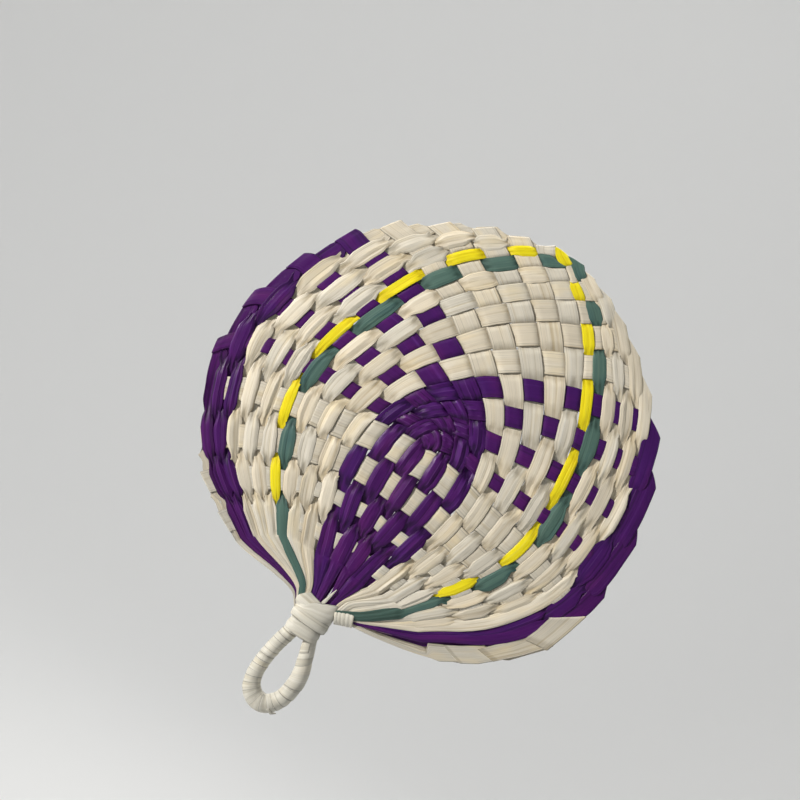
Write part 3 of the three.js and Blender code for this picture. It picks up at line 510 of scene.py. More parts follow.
class Strip:
    """Collects stations (columns of drawing points and heights) along one strip."""

    def __init__(self, seed, full=FULL, flat=0.0):
        self.full = full
        self.soft = 1.0 - flat
        w = [Wobble(seed * 31 + k) for k in range(12)]
        (self.shift, self.tilt, self.wide, self.skew_l, self.skew_r, self.crease, self.crease2, self.sharp, self.sharp2,
         self.phase, self.lift, self.sway) = w
        self.knots = [Wobble(seed * 31 + 15 + k) for k in range(len(FOLDS))]
        self.waves = 1.3 + 0.9 * (np.random.RandomState(seed * 7 + 3).rand())
        self.p, self.w, self.r = [], [], []

    def add(self, p, w, r):
        self.p.append(p)
        self.w.append(w)
        self.r.append(r)

    def folds(self, pos, s, sgn):
        """Heights of the lengthwise creases: a main ridge and smaller folds beside it."""
        v = np.stack([k(pos) + 0.45 * k(s * 1.9 + 7.0) for k in self.knots], -1)
        ridge = 0.55 - np.abs(FOLDS[None] - 0.55 * self.crease(pos)[:, None])
        return v + sgn * (0.75 + 0.55 * self.sharp(pos))[:, None] * ridge

    def run(self, kind, c, s, sign, fold=None, calm=None, n0=0.0, full=None, sides=None, level=None, bend=None, sink=None, soft=1.0, rough=None):
        """Stations at lattice run coordinates s. fold: (run coordinate of a slanted rim fold, its half width in run
        units, direction). calm: run coordinate of a square fold. level replaces the weaving height, sink adds to it."""
        s = np.asarray(s, float)
        c_at = c + (bend(s) if bend else 0.0 * s)
        self.full_at = np.broadcast_to(np.asarray(self.full if full is None else full, float), s.shape)
        own = length(at(kind, c_at + 0.5, s) - at(kind, c_at - 0.5, s))
        cross = length(at(kind, c_at, s + 0.5) - at(kind, c_at, s - 0.5))
        lane, scr, rim, waist, plat = widths(own, cross, self.full_at)
        sides = sides or (lambda k: side_of(kind, c, k))
        k = np.floor(s)
        x = s - k - 0.5
        here, there = sides(k), sides(np.where(x > 0, k + 1, k - 1))
        d = np.where(here == there, 0.5, 0.5 - np.abs(x))
        still = fold[0] if fold else calm
        win = np.ones_like(s) if still is None else 1 - np.exp(-((s - still) / 0.5) ** 2)
        at_end = smooth(np.abs(x), 0.25, 0.5)
        pos = n0 + k + np.sign(x) * 0.5 * at_end
        mid = 1 - at_end
        plat = plat * (1 + 0.11 * self.wide(pos) * win * scr)
        plat = np.maximum(np.minimum(plat, self.full_at / 2 / own), waist)

        def half_on(skew):
            r = np.clip((d - 0.13 * skew(pos) * np.sign(x) * win + 0.01) / 0.26, 0, 1)
            return waist + (plat - waist) * r * (1.15 - 0.15 * r)

        half = np.where(T[None] < 0, half_on(self.skew_l)[:, None], half_on(self.skew_r)[:, None])
        R = np.sin(0.5 * math.pi * np.clip(d / 0.29, 0, 1))
        row = np.clip((own / cross - 1.1) / 1.1, 0, 1)
        body = scr * lane * self.soft * soft
        if rough is not None:
            body = np.maximum(body, rough(s))
        flat = (1 - lane) * (1 - row) * (1 - np.clip((0.9 - own / FULL) / 0.25, 0, 1))
        amp = 0.88 + 0.16 * flat + 0.20 * scr * lane - 0.35 * row - (0.0 if kind == "a" else 0.3) * rim
        amp = amp * (1 + 0.22 * self.lift(pos) * (1 - rim))
        amp = 0.45 + (amp - 0.45) * win
        sgn = here
        if level is not None:
            base = level(s)
            sgn = np.sign(base + 1e-9)
            body = 0.35 * body
            R = np.ones_like(R)
        else:
            base = amp * here * R
        if sink is not None:
            base = base + sink(s)
        off = sign * half * T[None]
        col = lambda v: np.asarray(v)[:, None]
        sgn, R_, win_, body_, scr_, rim_, mid_, x_ = map(col, (sgn, R, win, body, scr, rim, mid, x))
        t = T[None]
        at_ = np.abs(t)
        w = col(base) + sgn * R_ * win_ * (0.16 + 0.02 * body_) * (1 - at_ ** 2.4)
        w = w - sgn * R_ * win_ * 0.16 * body_ * (np.clip(at_ - 0.62, 0, 1) / 0.38) ** 2
        w = w + R_ * win_ * (0.22 + 0.28 * body_) * col(self.tilt(pos)) * t
        if kind == "b":                                  # the upper edges stand up a little
            w = w + R_ * win_ * 0.18 * col(flat) * (sgn > 0) * sign * t
        pinch = (1 - R_) * (0.05 + 0.26 * body_) * win_ * tri(math.pi * self.waves * t + 2.6 * col(self.phase(pos)))
        w = w + pinch + 0.25 * rim_ * off * win_
        folds = self.folds(pos, s, sgn) * (0.035 + 0.045 * col(flat) + 0.36 * body_ * (0.3 + 0.7 * R_)) * win_
        if rough is not None:
            folds = folds + np.stack([k(s * 2.7 + 23.0) for k in self.knots], -1) * 0.55 * col(rough(s)) * win_
        w = w + folds @ KNOTS
        # painted shade and painted highlight: lighter on crease ridges and pinch crests, darker in their valleys,
        # darker again at the lens ends where a strip dives under its neighbour and on stretches that lie behind
        painted_shade_and_highlight = pinch / 0.4 + sgn * (folds @ RIDGE) / 0.22
        painted_shade_and_highlight = painted_shade_and_highlight - win_ * (1 - R_) ** 0.8 * (0.35 + 0.14 * col(flat) + 0.62 * body_) - 0.18 * (sgn < 0)
        drift = 0.10 * lane * (1 - rim) * self.shift(pos) * win
        cc = col(c_at + drift) + off
        ss = np.repeat(s[:, None], len(T), 1)
        if fold:
            reach = max(1.0, 1.7 * fold[1])
            near = np.clip(1 - np.abs(s - fold[0]) / reach, 0, 1)[:, None]
            ss = ss - fold[2] * fold[1] * t * near
        self.add(at(kind, cc, ss), w, np.clip(painted_shade_and_highlight, -1, 1))
        self.end_half, self.end_w = plat, w[:, len(T) // 2]

    def tail(self, side, c, sign, sgn, out, w0, half0, stack=0.0, n0=0.0, full=FULL, slim=1.9, tail_shade=0.0):
        """The end of the strip from the last cross strip into the neck, in front (sgn 1) or behind (-1), from the
        height w0 and half width half0 of its woven part. out: True runs into the neck. The last argument sets how much
        painted shade darkens the tail."""
        tau = np.concatenate([np.linspace(0, 1.0, 34)[1:], [1.07, 1.14, 1.21, 1.28, 1.35, 1.42]])
        tc = np.minimum(tau, 1.0)
        own = length(tail_point(side, c + 0.5, tc) - tail_point(side, c - 0.5, tc))
        half = np.maximum(1.04, 1.9 / own)
        half = half0 + (half - half0) * smooth(tau, 0, 0.3)
        half = np.minimum(half, full / 2 / own) * (1 + 0.06 * self.wide(n0 - 6 * tau))
        px = own * half
        if slim > 2:
            px = px + (slim * (1 - 0.35 * tc) - px) * smooth(tau, 0, 0.12)
        n = (n0 - 4 - 5 * tau)[:, None]
        t = T[None]
        tt = tau[:, None]
        ease = smooth(tt, 0.0, 0.25)
        w = w0 + (sgn * 1.2 + 0.35 * stack - w0) * smooth(tt, 0.0, 0.3 if slim > 2 else 0.75)
        bow = np.minimum(1.0, 0.085 * px)[:, None]
        w = w + sgn * bow * (1 - np.abs(t) ** 2.2) * (0.35 + 0.65 * ease) * 0.8
        deep = np.minimum(0.42, 0.05 * px)[:, None] * self.soft ** 0.5
        w = w + 0.5 * deep * self.tilt(n / 3) * t
        pleat = 0.35 * deep * ease * tri(math.pi * (self.waves + 1.1) * t + 2.4 * self.phase(n / 4))
        folds = self.folds(n[:, 0] / 3, n[:, 0] / 3, sgn) * deep * 0.75 * ease
        w = w + pleat + folds @ KNOTS
        # painted shade and highlight along the tail's creases and pleats; the last argument adds painted shade along
        # the tail from a little past its start into the neck
        painted_shade_and_highlight = np.clip(sgn * (folds @ RIDGE) / 0.2 + sgn * pleat / 0.3 - tail_shade * smooth(tt, 0.0, 0.2), -1, 1)
        cc = c + sign * half[:, None] * t
        p = tail_point(side, cc, np.repeat(tt, len(T), 1))
        if slim > 2:                                    # a broad tail keeps its width over its neighbours
            mid = tail_point(side, np.full_like(tau, c), tau)
            way = np.gradient(mid, axis=0)
            way = np.stack([way[:, 1], -way[:, 0]], -1) / length(way)[:, None]
            if ((p[0, -1] - p[0, 0]) * way[0]).sum() < 0:
                way = -way
            broad = mid[:, None] + way[:, None] * (px[:, None] * t)[..., None]
            p = p + (broad - p) * smooth(tau, 0, 0.12)[:, None, None]
        if out:
            self.add(p, w, painted_shade_and_highlight)
        else:
            self.add(p[::-1], w[::-1], painted_shade_and_highlight[::-1])

    def along(self, inner, outer, low, high, drop, after, n=60, n0=0.0):
        """A flat stretch between two edges, lists of drawing points from its fold down, rising from low to high and
        tucked behind the next one at the point numbered drop."""
        inner, outer = np.asarray(inner, float), np.asarray(outer, float)
        mid = np.concatenate([[0], np.cumsum(length(np.diff((inner + outer) / 2, axis=0)))])
        edge = mid[drop] / mid[-1]
        q = np.linspace(0, 1, n)
        q = np.sort(np.concatenate([q[np.abs(q - edge) > 0.014], edge + np.linspace(-0.012, 0.012, 7)])) * mid[-1]
        q = q[q <= mid[-1] + 1e-9]
        rise = q / mid[-1]
        rise = low + (high - low) * smooth(rise, 0, edge) - (high - after) * smooth(rise, edge - 0.006, edge + 0.012) * (drop < len(mid) - 1)
        both = [np.stack([np.interp(q, mid, e[:, k]) for k in (0, 1)], -1)[:, None] for e in (inner, outer)]
        lam = ACROSS[None, :, None]
        t = T[None]
        pos = n0 + q / 30
        w = rise[:, None] + 0.06 * (1 - t ** 2) + 0.10 * self.tilt(pos)[:, None] * t
        folds = self.folds(pos / 2, pos / 2, 1.0) * 0.05
        # painted shadow on the flap just before the edge of the next flap that covers it
        under = 0.8 * smooth(q / mid[-1], edge - 0.062, edge - 0.036)[:, None] * (drop < len(mid) - 1)
        self.add(both[0] * (1 - lam) + both[1] * lam, w + folds @ KNOTS, np.clip(folds @ RIDGE / 0.2 - under, -1, 1))
        self.end_w = w[:, len(T) // 2]

    def turn_front(self, row_end, inner, outer, w0, w1):
        """From the end of a row, behind, to a fold line (inner to outer point) that brings the strip forward."""
        lam = ACROSS[:, None]
        line = np.asarray(inner, float)[None] * (1 - lam) + np.asarray(outer, float)[None] * lam
        go = np.linspace(0, 1, 10)[1:, None, None]
        p = row_end[None] * (1 - go) + line[None] * go
        w = np.full(p.shape[:2], w0)
        o = np.array([inner[1] - outer[1], outer[0] - inner[0]], float)
        o = o / np.linalg.norm(o)
        phi = np.radians([30, 60, 90, 120, 150])
        p2 = line[None] + o[None, None] * (0.5 * MM / UNIT) * np.sin(phi)[:, None, None]
        w2 = (w0 + w1) / 2 + (w0 - w1) / 2 * np.cos(phi)[:, None] * np.ones((1, len(T)))
        w = np.concatenate([w, w2])
        self.add(np.concatenate([p, p2]), w, np.zeros_like(w))

    def fold_edge(self, kind, c, s, half_c, half_s, sign, w0, w1, flip=False):
        """The rounded crease of a slanted rim fold, from height w0 to w1."""
        phi = np.radians([25, 55, 90, 125, 155])
        base = at(kind, c + sign * half_c * T, s - sign * half_s * T)
        o = at(kind, c + 0.2, s + 0.2) - at(kind, c - 0.2, s - 0.2)
        o = o / np.linalg.norm(o)
        bulge = min(0.5, abs(w1 - w0) / 2)
        p = base[None] + o[None, None] * (bulge * MM / UNIT) * np.sin(phi)[:, None, None]
        w = (w0 + w1) / 2 + (w0 - w1) / 2 * np.cos(phi)[:, None] * np.ones((1, len(T)))
        self.add(*((p[::-1], w[::-1]) if flip else (p, w)), np.zeros_like(w))

    def turn_back(self, c, s_f, reach, half_c, half_s, s_lane, w0, w1, flip=False):
        """The end of a row on the left rim: folded square over the rim and led down behind it as a lane."""
        a0, b0 = np.full_like(T, s_f + reach), c + half_c * T
        a1, b1 = s_f - half_s * T, np.full_like(T, s_lane)
        phi = np.radians([30, 60, 90, 120, 150])
        base = drawing(a0, b0)
        o = drawing(a0 + 0.2, b0) - drawing(a0 - 0.2, b0)
        o = o / length(o)[:, None]
        bulge = min(0.5, abs(w1 - w0) / 2)
        p = base[None] + o[None] * (bulge * MM / UNIT) * np.sin(phi)[:, None, None]
        w = (w0 + w1) / 2 + (w0 - w1) / 2 * np.cos(phi)[:, None] * np.ones((1, len(T)))
        lam = np.linspace(0, 1, 9)[:-1, None]
        p = np.concatenate([p, drawing(a0 * (1 - lam) + a1 * lam, b0 * (1 - lam) + b1 * lam)])
        w = np.concatenate([w, np.full((len(lam), len(T)), w1)])
        self.add(*((p[::-1], w[::-1]) if flip else (p, w)), np.zeros_like(w))

    def build(self, name, material, nodes):
        p = np.concatenate(self.p)
        w = np.concatenate(self.w)
        r = np.concatenate(self.r)
        xyz = world(p, w)
        mid = xyz[:, len(T) // 2]
        run = np.concatenate([[0], np.cumsum(np.linalg.norm(np.diff(mid, axis=0), axis=1))]) / (FULL * UNIT)
        ob = sheet_object(name, xyz, PLY * MM * EDGE[None], ACROSS[None], run[:, None], r, creases=CREASED)
        ob.data.materials.append(material)
        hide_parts(*nodes)
        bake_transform(ob)
        return ob


def stations(s0, s1):
    n = max(2, int(round(abs(s1 - s0) * STEPS)))
    return np.linspace(s0, s1, n + 1)


def half_there(kind, c, s, full):
    """Half width, in lattice units, of a strip at one place."""
    own = length(at(kind, c + 0.5, s) - at(kind, c - 0.5, s))
    cross = length(at(kind, c, s + 0.5) - at(kind, c, s - 0.5))
    return float(widths(own, cross, np.asarray(full, float))[4])


def there_and_back(strip, kind, c, stack, near_full, row_full, lane_full, flap=1.05, slim=(1.9, 1.9), soft=1.0, tail_shade=0.0):
    """Tail, run out to the rim, fold, return lane, tail: a whole strip of the left ('a') or right ('b') family.
    near_full, row_full and lane_full: widths from the neck to the middle, out to the rim, and back. flap: how far a
    square fold stands out past the middle of its lane, lattice units."""
    side = -1 if kind == "a" else 1
    other = "b" if kind == "a" else "a"
    s_f = RIM_SUM - c
    hs = half_there(other, s_f, c, lane_full(c))
    hc = half_there(kind, c, s_f, row_full)
    last_row, last_lane = int(s_f - 1.5), int(math.floor(c - 1.5))
    row_sides = lambda k: side_of(kind, c, k, last_row)
    lane_sides = lambda k: side_of(other, s_f, k, last_lane)
    reach = s_f if kind == "a" else s_f + flap
    s = stations(TAIL_START, reach)
    full = near_full + (row_full - near_full) * smooth(s, -0.6, 2.4)
    if c < 2:                                            # the innermost strips close the middle
        full = full + 4.0 * np.exp(-((s - 1.1) / 0.7) ** 2)
    rough = (lambda v: 1.15 * (1 - smooth(np.abs(v - 1.2), 1.6, 3.0))) if c < 4 else None        # crumpled middle
    if kind == "a":
        strip.run(kind, c, s, 1, fold=(s_f, hs, 1), full=full, sides=row_sides, rough=rough)
    else:
        strip.run(kind, c, s, 1, calm=reach, full=full, sides=row_sides, rough=rough)
    first = strip.p.pop(), strip.w.pop(), strip.r.pop()
    low = float(side_of(kind, c, -4))
    strip.tail(side, c, 1, low, False, strip.end_w[0], strip.end_half[0], stack[0], full=near_full, slim=slim[0])
    strip.add(*first)
    if kind == "a":
        strip.fold_edge(kind, c, s_f, hc, hs, 1, -0.45, 0.45)
        up = -0.45 if s_f < 17 else 0.2 if side_of(other, s_f, -4) > 0 else 0.0
        s = stations(c, TAIL_START)
        strip.run(other, s_f, s, -1, fold=(c, hc, -1), n0=40.0, full=lane_full(s), sides=lane_sides, soft=soft,
                  sink=(lambda v: up * smooth(-v, 0.6, 1.6)) if 16 < s_f < 20 else None)
    else:
        s_lane = c - hc - 0.10
        hs = half_there(other, s_f, s_lane, lane_full(s_lane))
        strip.turn_back(c, s_f, flap, hc, hs, s_lane, 0.45, -0.45)
        s = stations(s_lane, TAIL_START)
        strip.run(other, s_f, s, -1, calm=s_lane, n0=40.0, full=lane_full(s), sides=lane_sides)
    low = float(side_of(other, s_f, -4))
    strip.tail(-side, s_f, -1, low, True, strip.end_w[-1], strip.end_half[-1], stack[1], n0=40.0, full=float(lane_full(TAIL_START)),
               slim=slim[1], tail_shade=tail_shade)


STACK = np.random.RandomState(11)


def stack_pair():
    return STACK.uniform(-1, 1), STACK.uniform(-1, 1)


A_ROW = [15.5, 19.0, 20.5, 22.5]        # purple rows on the right half, drawing units wide
B_ROW = [17.0, 22.5, 24.5, 25.0]        # purple rows on the left half
FLAPS = [1.05, 1.05, 1.05, 1.0, 0.55, 0.1, 0.0, 0.0, 0.0]      # square folds on the left rim, bottom to tip


def even(v):
    return lambda s: v + 0.0 * np.asarray(s, float)


for i in range(1, 12):
    st = Strip(100 + i, flat={10: 0.45, 11: 0.55}.get(i, 0.0))
    if i <= 4:
        spans = 17.5, A_ROW[i - 1], even(FULL)
    elif i <= 9:
        spans = 16.5, FULL, even(14.5)
    else:
        spans = {10: (16.0, 17.5, even(17.0)), 11: (11.0, 12.6, even(12.2))}[i]
    pair = stack_pair()
    # the teal strip's tail into the neck carries painted shade (0.75)
    there_and_back(st, "a", i - 0.5, (1.0, 2.2) if i == 10 else pair, *spans, slim={10: (5.2, 7.2)}.get(i, (1.9, 1.9)), soft=0.35 if i <= 4 else 0.8,
                   tail_shade=0.75 if i == 10 else 0.0)
    if i <= 4:
        name, slot = f"purple_strip_left_{i}", "purple_leaf"
        mat = purple(name + "_leaf", i, 0.15 * i)
    elif i <= 9:
        name, slot = f"natural_strip_left_{i - 4}", "natural_leaf"
        mat = natural(name + "_leaf", i)
    elif i == 10:
        name, slot = "teal_strip", "teal_leaf"
        # ridge is the painted highlight colour on the crease ridges
        mat = leaf("teal_strip_leaf", srgb(84, 114, 104), srgb(52, 82, 80), srgb(118, 144, 130), rough=(0.38, 0.56), seed=3.3,
                   fibre=0.6, hem=0.7, ridge=srgb(130, 152, 138), patch=srgb(58, 92, 94))
    else:
        name, slot = "yellow_strip", "yellow_leaf"
        # ridge is the painted highlight colour on the crease ridges
        mat = leaf("yellow_strip_leaf", srgb(252, 234, 26), srgb(226, 198, 12), srgb(255, 244, 96), rough=(0.36, 0.54), seed=5.1,
                   fibre=0.4, hem=0.78, ridge=srgb(250, 238, 120), patch=srgb(232, 204, 16))
    st.build(name, mat, [name] + (["left_gather"] if i == 5 else []))
for j in range(1, 10):
    st = Strip(200 + j)
    if j <= 4:
        spans = 17.5, B_ROW[j - 1], lambda s: 18.5 - 5.5 * np.exp(-((s + 0.5) / 0.45) ** 2) - 4.5 * np.exp(-((s + 1.5) / 0.45) ** 2)
    else:
        spans = 16.5, FULL, lambda s: 15.5 + 5.0 * smooth(s, -0.8, 1.5)
    there_and_back(st, "b", j - 0.5, stack_pair(), *spans, flap=FLAPS[j - 1])
    if j <= 4:
        name, slot = f"purple_strip_right_{j}", "purple_leaf"
        mat = purple(name + "_leaf", 10 + j, 0.12 * j)
    else:
        name, slot = f"natural_strip_right_{j - 4}", "natural_leaf"
        mat = natural(name + "_leaf", 20 + j)
    st.build(name, mat, [name] + (["right_gather"] if j == 5 else []))

W_MID = [31.0, 27.0, 15.0, 17.0]        # cross strips under the centre
W_LEFT = [19.2, 20.6, 21.9, 23.1]       # lattice places of their left folds
W_ROW_END = [17.6, 17.5, 17.6, 18.0]    # where they go behind the outer lanes on the right
W_OUT = [20.6, 21.6, 22.6, 23.5]        # lanes below the right folds
W_FLAP = [                              # edges of the folded ends on the right rim, inner and outer, drawing units
    ([(197.8, 120), (194, 104), (188.3, 89.2), (174, 68)], [(228.3, 142.0), (222, 118), (214, 92.5), (188, 62)]),
    ([(187, 96), (172, 74), (155, 55.3), (132, 42)], [(217, 99), (197, 75), (175, 53.3), (146, 36)]),
    ([(157, 61), (141, 50), (124, 40), (110, 33)], [(182, 60), (164, 43), (148.5, 33.5), (126, 24)]),
    ([(133, 43), (112, 31)], [(155, 39), (130, 23.5)]),
]
for k in range(1, CROSS + 1):
    st = Strip(300 + k)
    c = 0.5 - k
    pair = stack_pair()

    def width(s, far=27.0):
        return W_MID[k - 1] + (far - W_MID[k - 1]) * smooth(np.abs(s), 4, 13)

    # left half, from the neck to the axis: behind the outer lanes, folded square at the rim
    n_f, hold, reach = W_LEFT[k - 1], [18, 17, 16, 16][k - 1], [-0.2, -0.2, 0.2, 0.0][k - 1]
    behind = -1.75 - 0.2 * k
    hc = half_there("b", c, n_f, 24.0)
    s_lane = c - hc - 0.10
    hs = half_there("a", n_f, s_lane, 18.0)
    st.run("a", n_f, stations(TAIL_START, s_lane), -1, calm=s_lane, n0=40.0, full=18.0, level=lambda s: behind + 0 * s)
    first = st.p.pop(), st.w.pop(), st.r.pop()
    st.tail(-1, n_f, -1, -1.0 if k < 3 else 1.0, False, st.end_w[0], st.end_half[0], pair[0], n0=40.0)
    st.add(*first)
    st.turn_back(c, n_f, reach, hc, hs, s_lane, -1.4, behind, flip=True)
    s = stations(n_f + reach, 0)
    st.run("b", c, s, 1, calm=n_f + reach, n0=80.0, full=width(s, 24.0),
           sides=lambda q: np.where(q >= hold, -1.0, side_of("b", c, q)), sink=lambda v: -0.85 * smooth(v, hold - 0.8, hold + 0.6))
    # right half, out from the axis: behind the outer lanes, then folded forward over them
    end, out_c, hold = W_ROW_END[k - 1], W_OUT[k - 1], [17, 15, 15, 15][k - 1]
    s = stations(0, end)[1:]
    st.run("a", c, s, 1, calm=end + 0.3, n0=120.0, full=width(s, 24.0),
           sides=lambda q: np.where(q >= hold, -1.0, side_of("a", c, q)), sink=lambda v: -1.0 * smooth(v, hold - 0.8, hold + 0.6))
    inner, outer = (list(e) for e in W_FLAP[k - 1])
    st.turn_front(st.p[-1][-1], inner[0], outer[0], float(st.w[-1][-1].mean()), 1.35 if k == 1 else 0.9)
    inner.append(tuple(at("b", out_c - 0.9, TAIL_START)))
    outer.append(tuple(at("b", out_c + 0.9, TAIL_START)))
    st.along(inner, outer, 1.35 if k == 1 else 0.9, [2.1, 1.9, 1.7, 1.0][k - 1], 2, -1.7 if k < 3 else 0.6, n0=160.0)
    st.tail(1, out_c, 1, -1.0 if k < 3 else 1.0, True, st.end_w[-1], 0.9, pair[1], n0=160.0)
    # the cross strips are darkened all over (0.88) as painted shade; their cooler, greyer tint (-0.04) is their own
    # tone
    st.build(f"cross_strip_{k}", natural(f"cross_strip_{k}_leaf", 40 + k, 0.88, -0.04, 0.4), [f"cross_strip_{k}"])


# ------------------------------------------------------------------ binding and handle
PALE, PALE_DARK, PALE_LIGHT = srgb(221, 217, 204), srgb(190, 183, 164), srgb(237, 234, 225)


def binding(name, k, f=1.0):
    return leaf(name, tinted(PALE, f), tinted(PALE_DARK, f), tinted(PALE_LIGHT, f), rough=(0.42, 0.6), spec=0.35, seed=60.0 + k,
                fibre=0.55, hem=0.82, patch=tinted(srgb(214, 203, 178), 1.0), edge_shade=(0.085, 0.2))


TB = np.array([-1, -0.95, -0.8, -0.6, -0.35, -0.12, 0.12, 0.35, 0.6, 0.8, 0.95, 1.0])
EDGE_B = np.sqrt(np.clip(1 - (np.clip(np.abs(TB) - 0.8, 0, 1) / 0.2) ** 2, 0, 1))


def oval(theta, rx, ry, power=2.5):
    """Point of a rounded oval: theta 0 to the right, 90 degrees to the front."""
    c, s = np.cos(theta), np.sin(theta)
    x = rx * np.sign(c) * np.abs(c) ** (2 / power)
    y = -ry * np.sign(s) * np.abs(s) ** (2 / power)
    return x, y


def band(name, theta, top, low, rx, ry, grow, seed, material, nodes=(), centre=-1.5, crown=0.35, wave=0.16, flare=None, lean=0.0):
    """Leaf band laid round the neck. top and low are its edges (drawing units up) at each theta, grow the extra
    radius in mm."""
    wob = [Wobble(seed + k) for k in range(4)]
    t = TB[None]
    th = theta[:, None]
    u = (top[:, None] + low[:, None]) / 2 + (top - low)[:, None] / 2 * t
    r = grow[:, None] + crown * (1 - t ** 2) + wave * np.cos(5.2 * t + 2.5 * wob[0](th * 0.9)) + 0.22 * wob[1](th * 1.3) * t
    r = r + 0.12 * wob[2](th * 2.2 + t)
    grow_x = r * MM + (0.0 if flare is None else flare(u) * UNIT)
    x, y = oval(th, rx * MM + grow_x, ry * (1 - lean * smooth(u, -9, 13)) * MM + r * MM)
    p = np.stack([centre * UNIT + x, y + 0 * u, (u - GRIP_U) * UNIT], -1)
    run = np.concatenate([[0], np.cumsum(np.linalg.norm(np.diff(p[:, 6], axis=0), axis=1))]) / 0.012
    # painted shade in the valleys of the band's crinkle, following the same wave as its radius
    painted_shade_and_highlight = np.clip(np.cos(5.2 * t + 2.5 * wob[0](th * 0.9)), -1, 1) * 0.5
    ob = sheet_object(name, p, 0.26 * MM * EDGE_B[None], ((TB + 1) / 2)[None], run[:, None], np.broadcast_to(painted_shade_and_highlight, u.shape))
    ob.data.materials.append(material)
    if nodes:
        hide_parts(*nodes)
    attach(ob, "handle")
    return ob


def stops(theta, rows):
    rows = np.array(sorted(rows), float)
    return np.interp(theta, rows[:, 0] * math.pi, rows[:, 1])


NECK_RX, NECK_RY = 18.3 * UNIT / MM, 6.1
th = np.linspace(-0.5 * math.pi, 4.1 * math.pi, 200)
turn = (th - th[0]) / (2 * math.pi)
band("neck_wrap_lower", th, -19.4 + 0.5 * np.sin(th) + 0.5 * turn, -33.2 + 0.4 * np.cos(th) + 0.7 * turn, NECK_RX - 1.5, NECK_RY - 0.1,
     0.10 + 0.30 * turn, 401, binding("neck_wrap_lower_leaf", 1), ["neck_wrap_lower"], crown=0.5)
band("neck_wrap_upper", th, -7.0 + 0.6 * np.sin(th) - 0.5 * turn, -18.6 - 0.5 * np.cos(th) + 0.3 * turn, NECK_RX, NECK_RY + 0.1,
     0.25 + 0.32 * turn, 421, binding("neck_wrap_upper_leaf", 2), ["neck_wrap_upper"], crown=0.55)
th = np.linspace(1.45 * math.pi, -0.45 * math.pi, 120)
band("neck_sash", th,
     stops(th, [(1.45, -5), (1.2, -5), (1.0, -4), (0.8, -3.5), (0.66, -1), (0.55, 5.5), (0.42, 10.5), (0.3, 13.2), (0.18, 14.5),
                (0.05, 13), (-0.1, 11), (-0.45, 8)]),
     stops(th, [(1.45, -11), (1.0, -9), (0.5, -9), (0.0, -9), (-0.45, -4)]),
     NECK_RX - 0.1, NECK_RY + 0.2, 0.7 + 0 * th, 431, binding("neck_sash_leaf", 3, 1.02), ["neck_sash"], crown=0.7, wave=0.22, lean=0.5)
th = np.linspace(1.40 * math.pi, 0.30 * math.pi, 90)
band("neck_lap", th, stops(th, [(1.4, 4), (1.1, 8), (0.95, 11.5), (0.7, 11), (0.52, 8.5), (0.3, 2)]),
     stops(th, [(1.4, -9), (1.0, -7.5), (0.3, -8)]),
     NECK_RX + 0.6, NECK_RY - 0.2, 0.2 + 0 * th, 441, binding("neck_lap_leaf", 4, 0.96), [], crown=0.5, wave=0.3, lean=0.5,
     flare=lambda u: 3.8 * smooth(u, -9, -3) - 2.2 * smooth(u, 0, 11))


def bundle(name, rows, seed, nodes):
    """Bundle of strip ends inside the neck: rows of (up, left, right, half depth in mm)."""
    rows = np.array(rows, float)
    u = np.linspace(rows[0, 0], rows[-1, 0], 34)
    left, right, deep = (np.interp(u, rows[::-1, 0], rows[::-1, k]) if rows[0, 0] > rows[-1, 0] else
                         np.interp(u, rows[:, 0], rows[:, k]) for k in (1, 2, 3))
    th = np.linspace(0, 2 * math.pi, 73)[:-1]
    wob = Wobble(seed)
    r = 1 + 0.05 * np.cos(14 * th + 2 * wob(th)) + 0.03 * np.cos(23 * th)
    cx, rx = (left + right) / 2 * UNIT, (right - left) / 2 * UNIT
    x, y = oval(th[None], (rx[:, None]) * r[None], (deep[:, None] * MM) * r[None])
    p = np.stack([cx[:, None] + x, y, np.repeat(((u - GRIP_U) * UNIT)[:, None], len(th), 1)], -1)
    n, m = p.shape[:2]
    verts = np.concatenate([p.reshape(-1, 3), p[0].mean(0)[None], p[-1].mean(0)[None]])
    idx = np.arange(n * m).reshape(n, m)
    nxt = np.roll(idx, -1, 1)
    faces = [tuple(f) for f in np.stack([idx[:-1], nxt[:-1], nxt[1:], idx[1:]], -1).reshape(-1, 4).tolist()]
    for q in range(m):
        faces.append((n * m, int(nxt[0, q]), int(idx[0, q])))
        faces.append((n * m + 1, int(idx[-1, q]), int(nxt[-1, q])))
    me = bpy.data.meshes.new(name)
    me.from_pydata(verts.tolist(), [], faces)
    uv = np.concatenate([np.stack(np.broadcast_arrays((th / 2 / math.pi * 5 % 1)[None], (u / 20)[:, None]), -1).reshape(-1, 2),
                         np.zeros((2, 2))])
    layer = me.uv_layers.new(name="strip")
    ix = np.zeros(len(me.loops), np.int32)
    me.loops.foreach_get("vertex_index", ix)
    layer.data.foreach_set("uv", uv[ix].astype(np.float32).ravel())
    me.attributes.new("painted_shade_and_highlight", "FLOAT", "POINT")
    me.polygons.foreach_set("use_smooth", np.ones(len(me.polygons), bool))
    me.update()
    ob = link(bpy.data.objects.new(name + "_leaf", me))
    ob.data.materials.append(natural(name + "_leaf", seed))
    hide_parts(*nodes)
    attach(ob, "handle")
    return ob


bundle("left_neck_core", [(2, -16, -5, 0.8), (-1, -18, -2.5, 2.2), (-4, -18.5, -1.5, 3.6), (-6, -18.5, -1.5, 5.0), (-17, -18, -1.5, 5.0), (-20, -16, -1.5, 4.8), (-32, -15.5, -1.5, 4.8)],
       71, ["left_neck_core"])
bundle("right_neck_core", [(2, 2, 12, 0.8), (-1, -0.5, 14, 2.2), (-4, -1.2, 15, 3.6), (-6, -1.3, 15.5, 5.0), (-17, -1.3, 15, 5.0), (-20, -1.3, 13, 4.8), (-32, -1.3, 12.5, 4.8)],
       72, ["right_neck_core"])


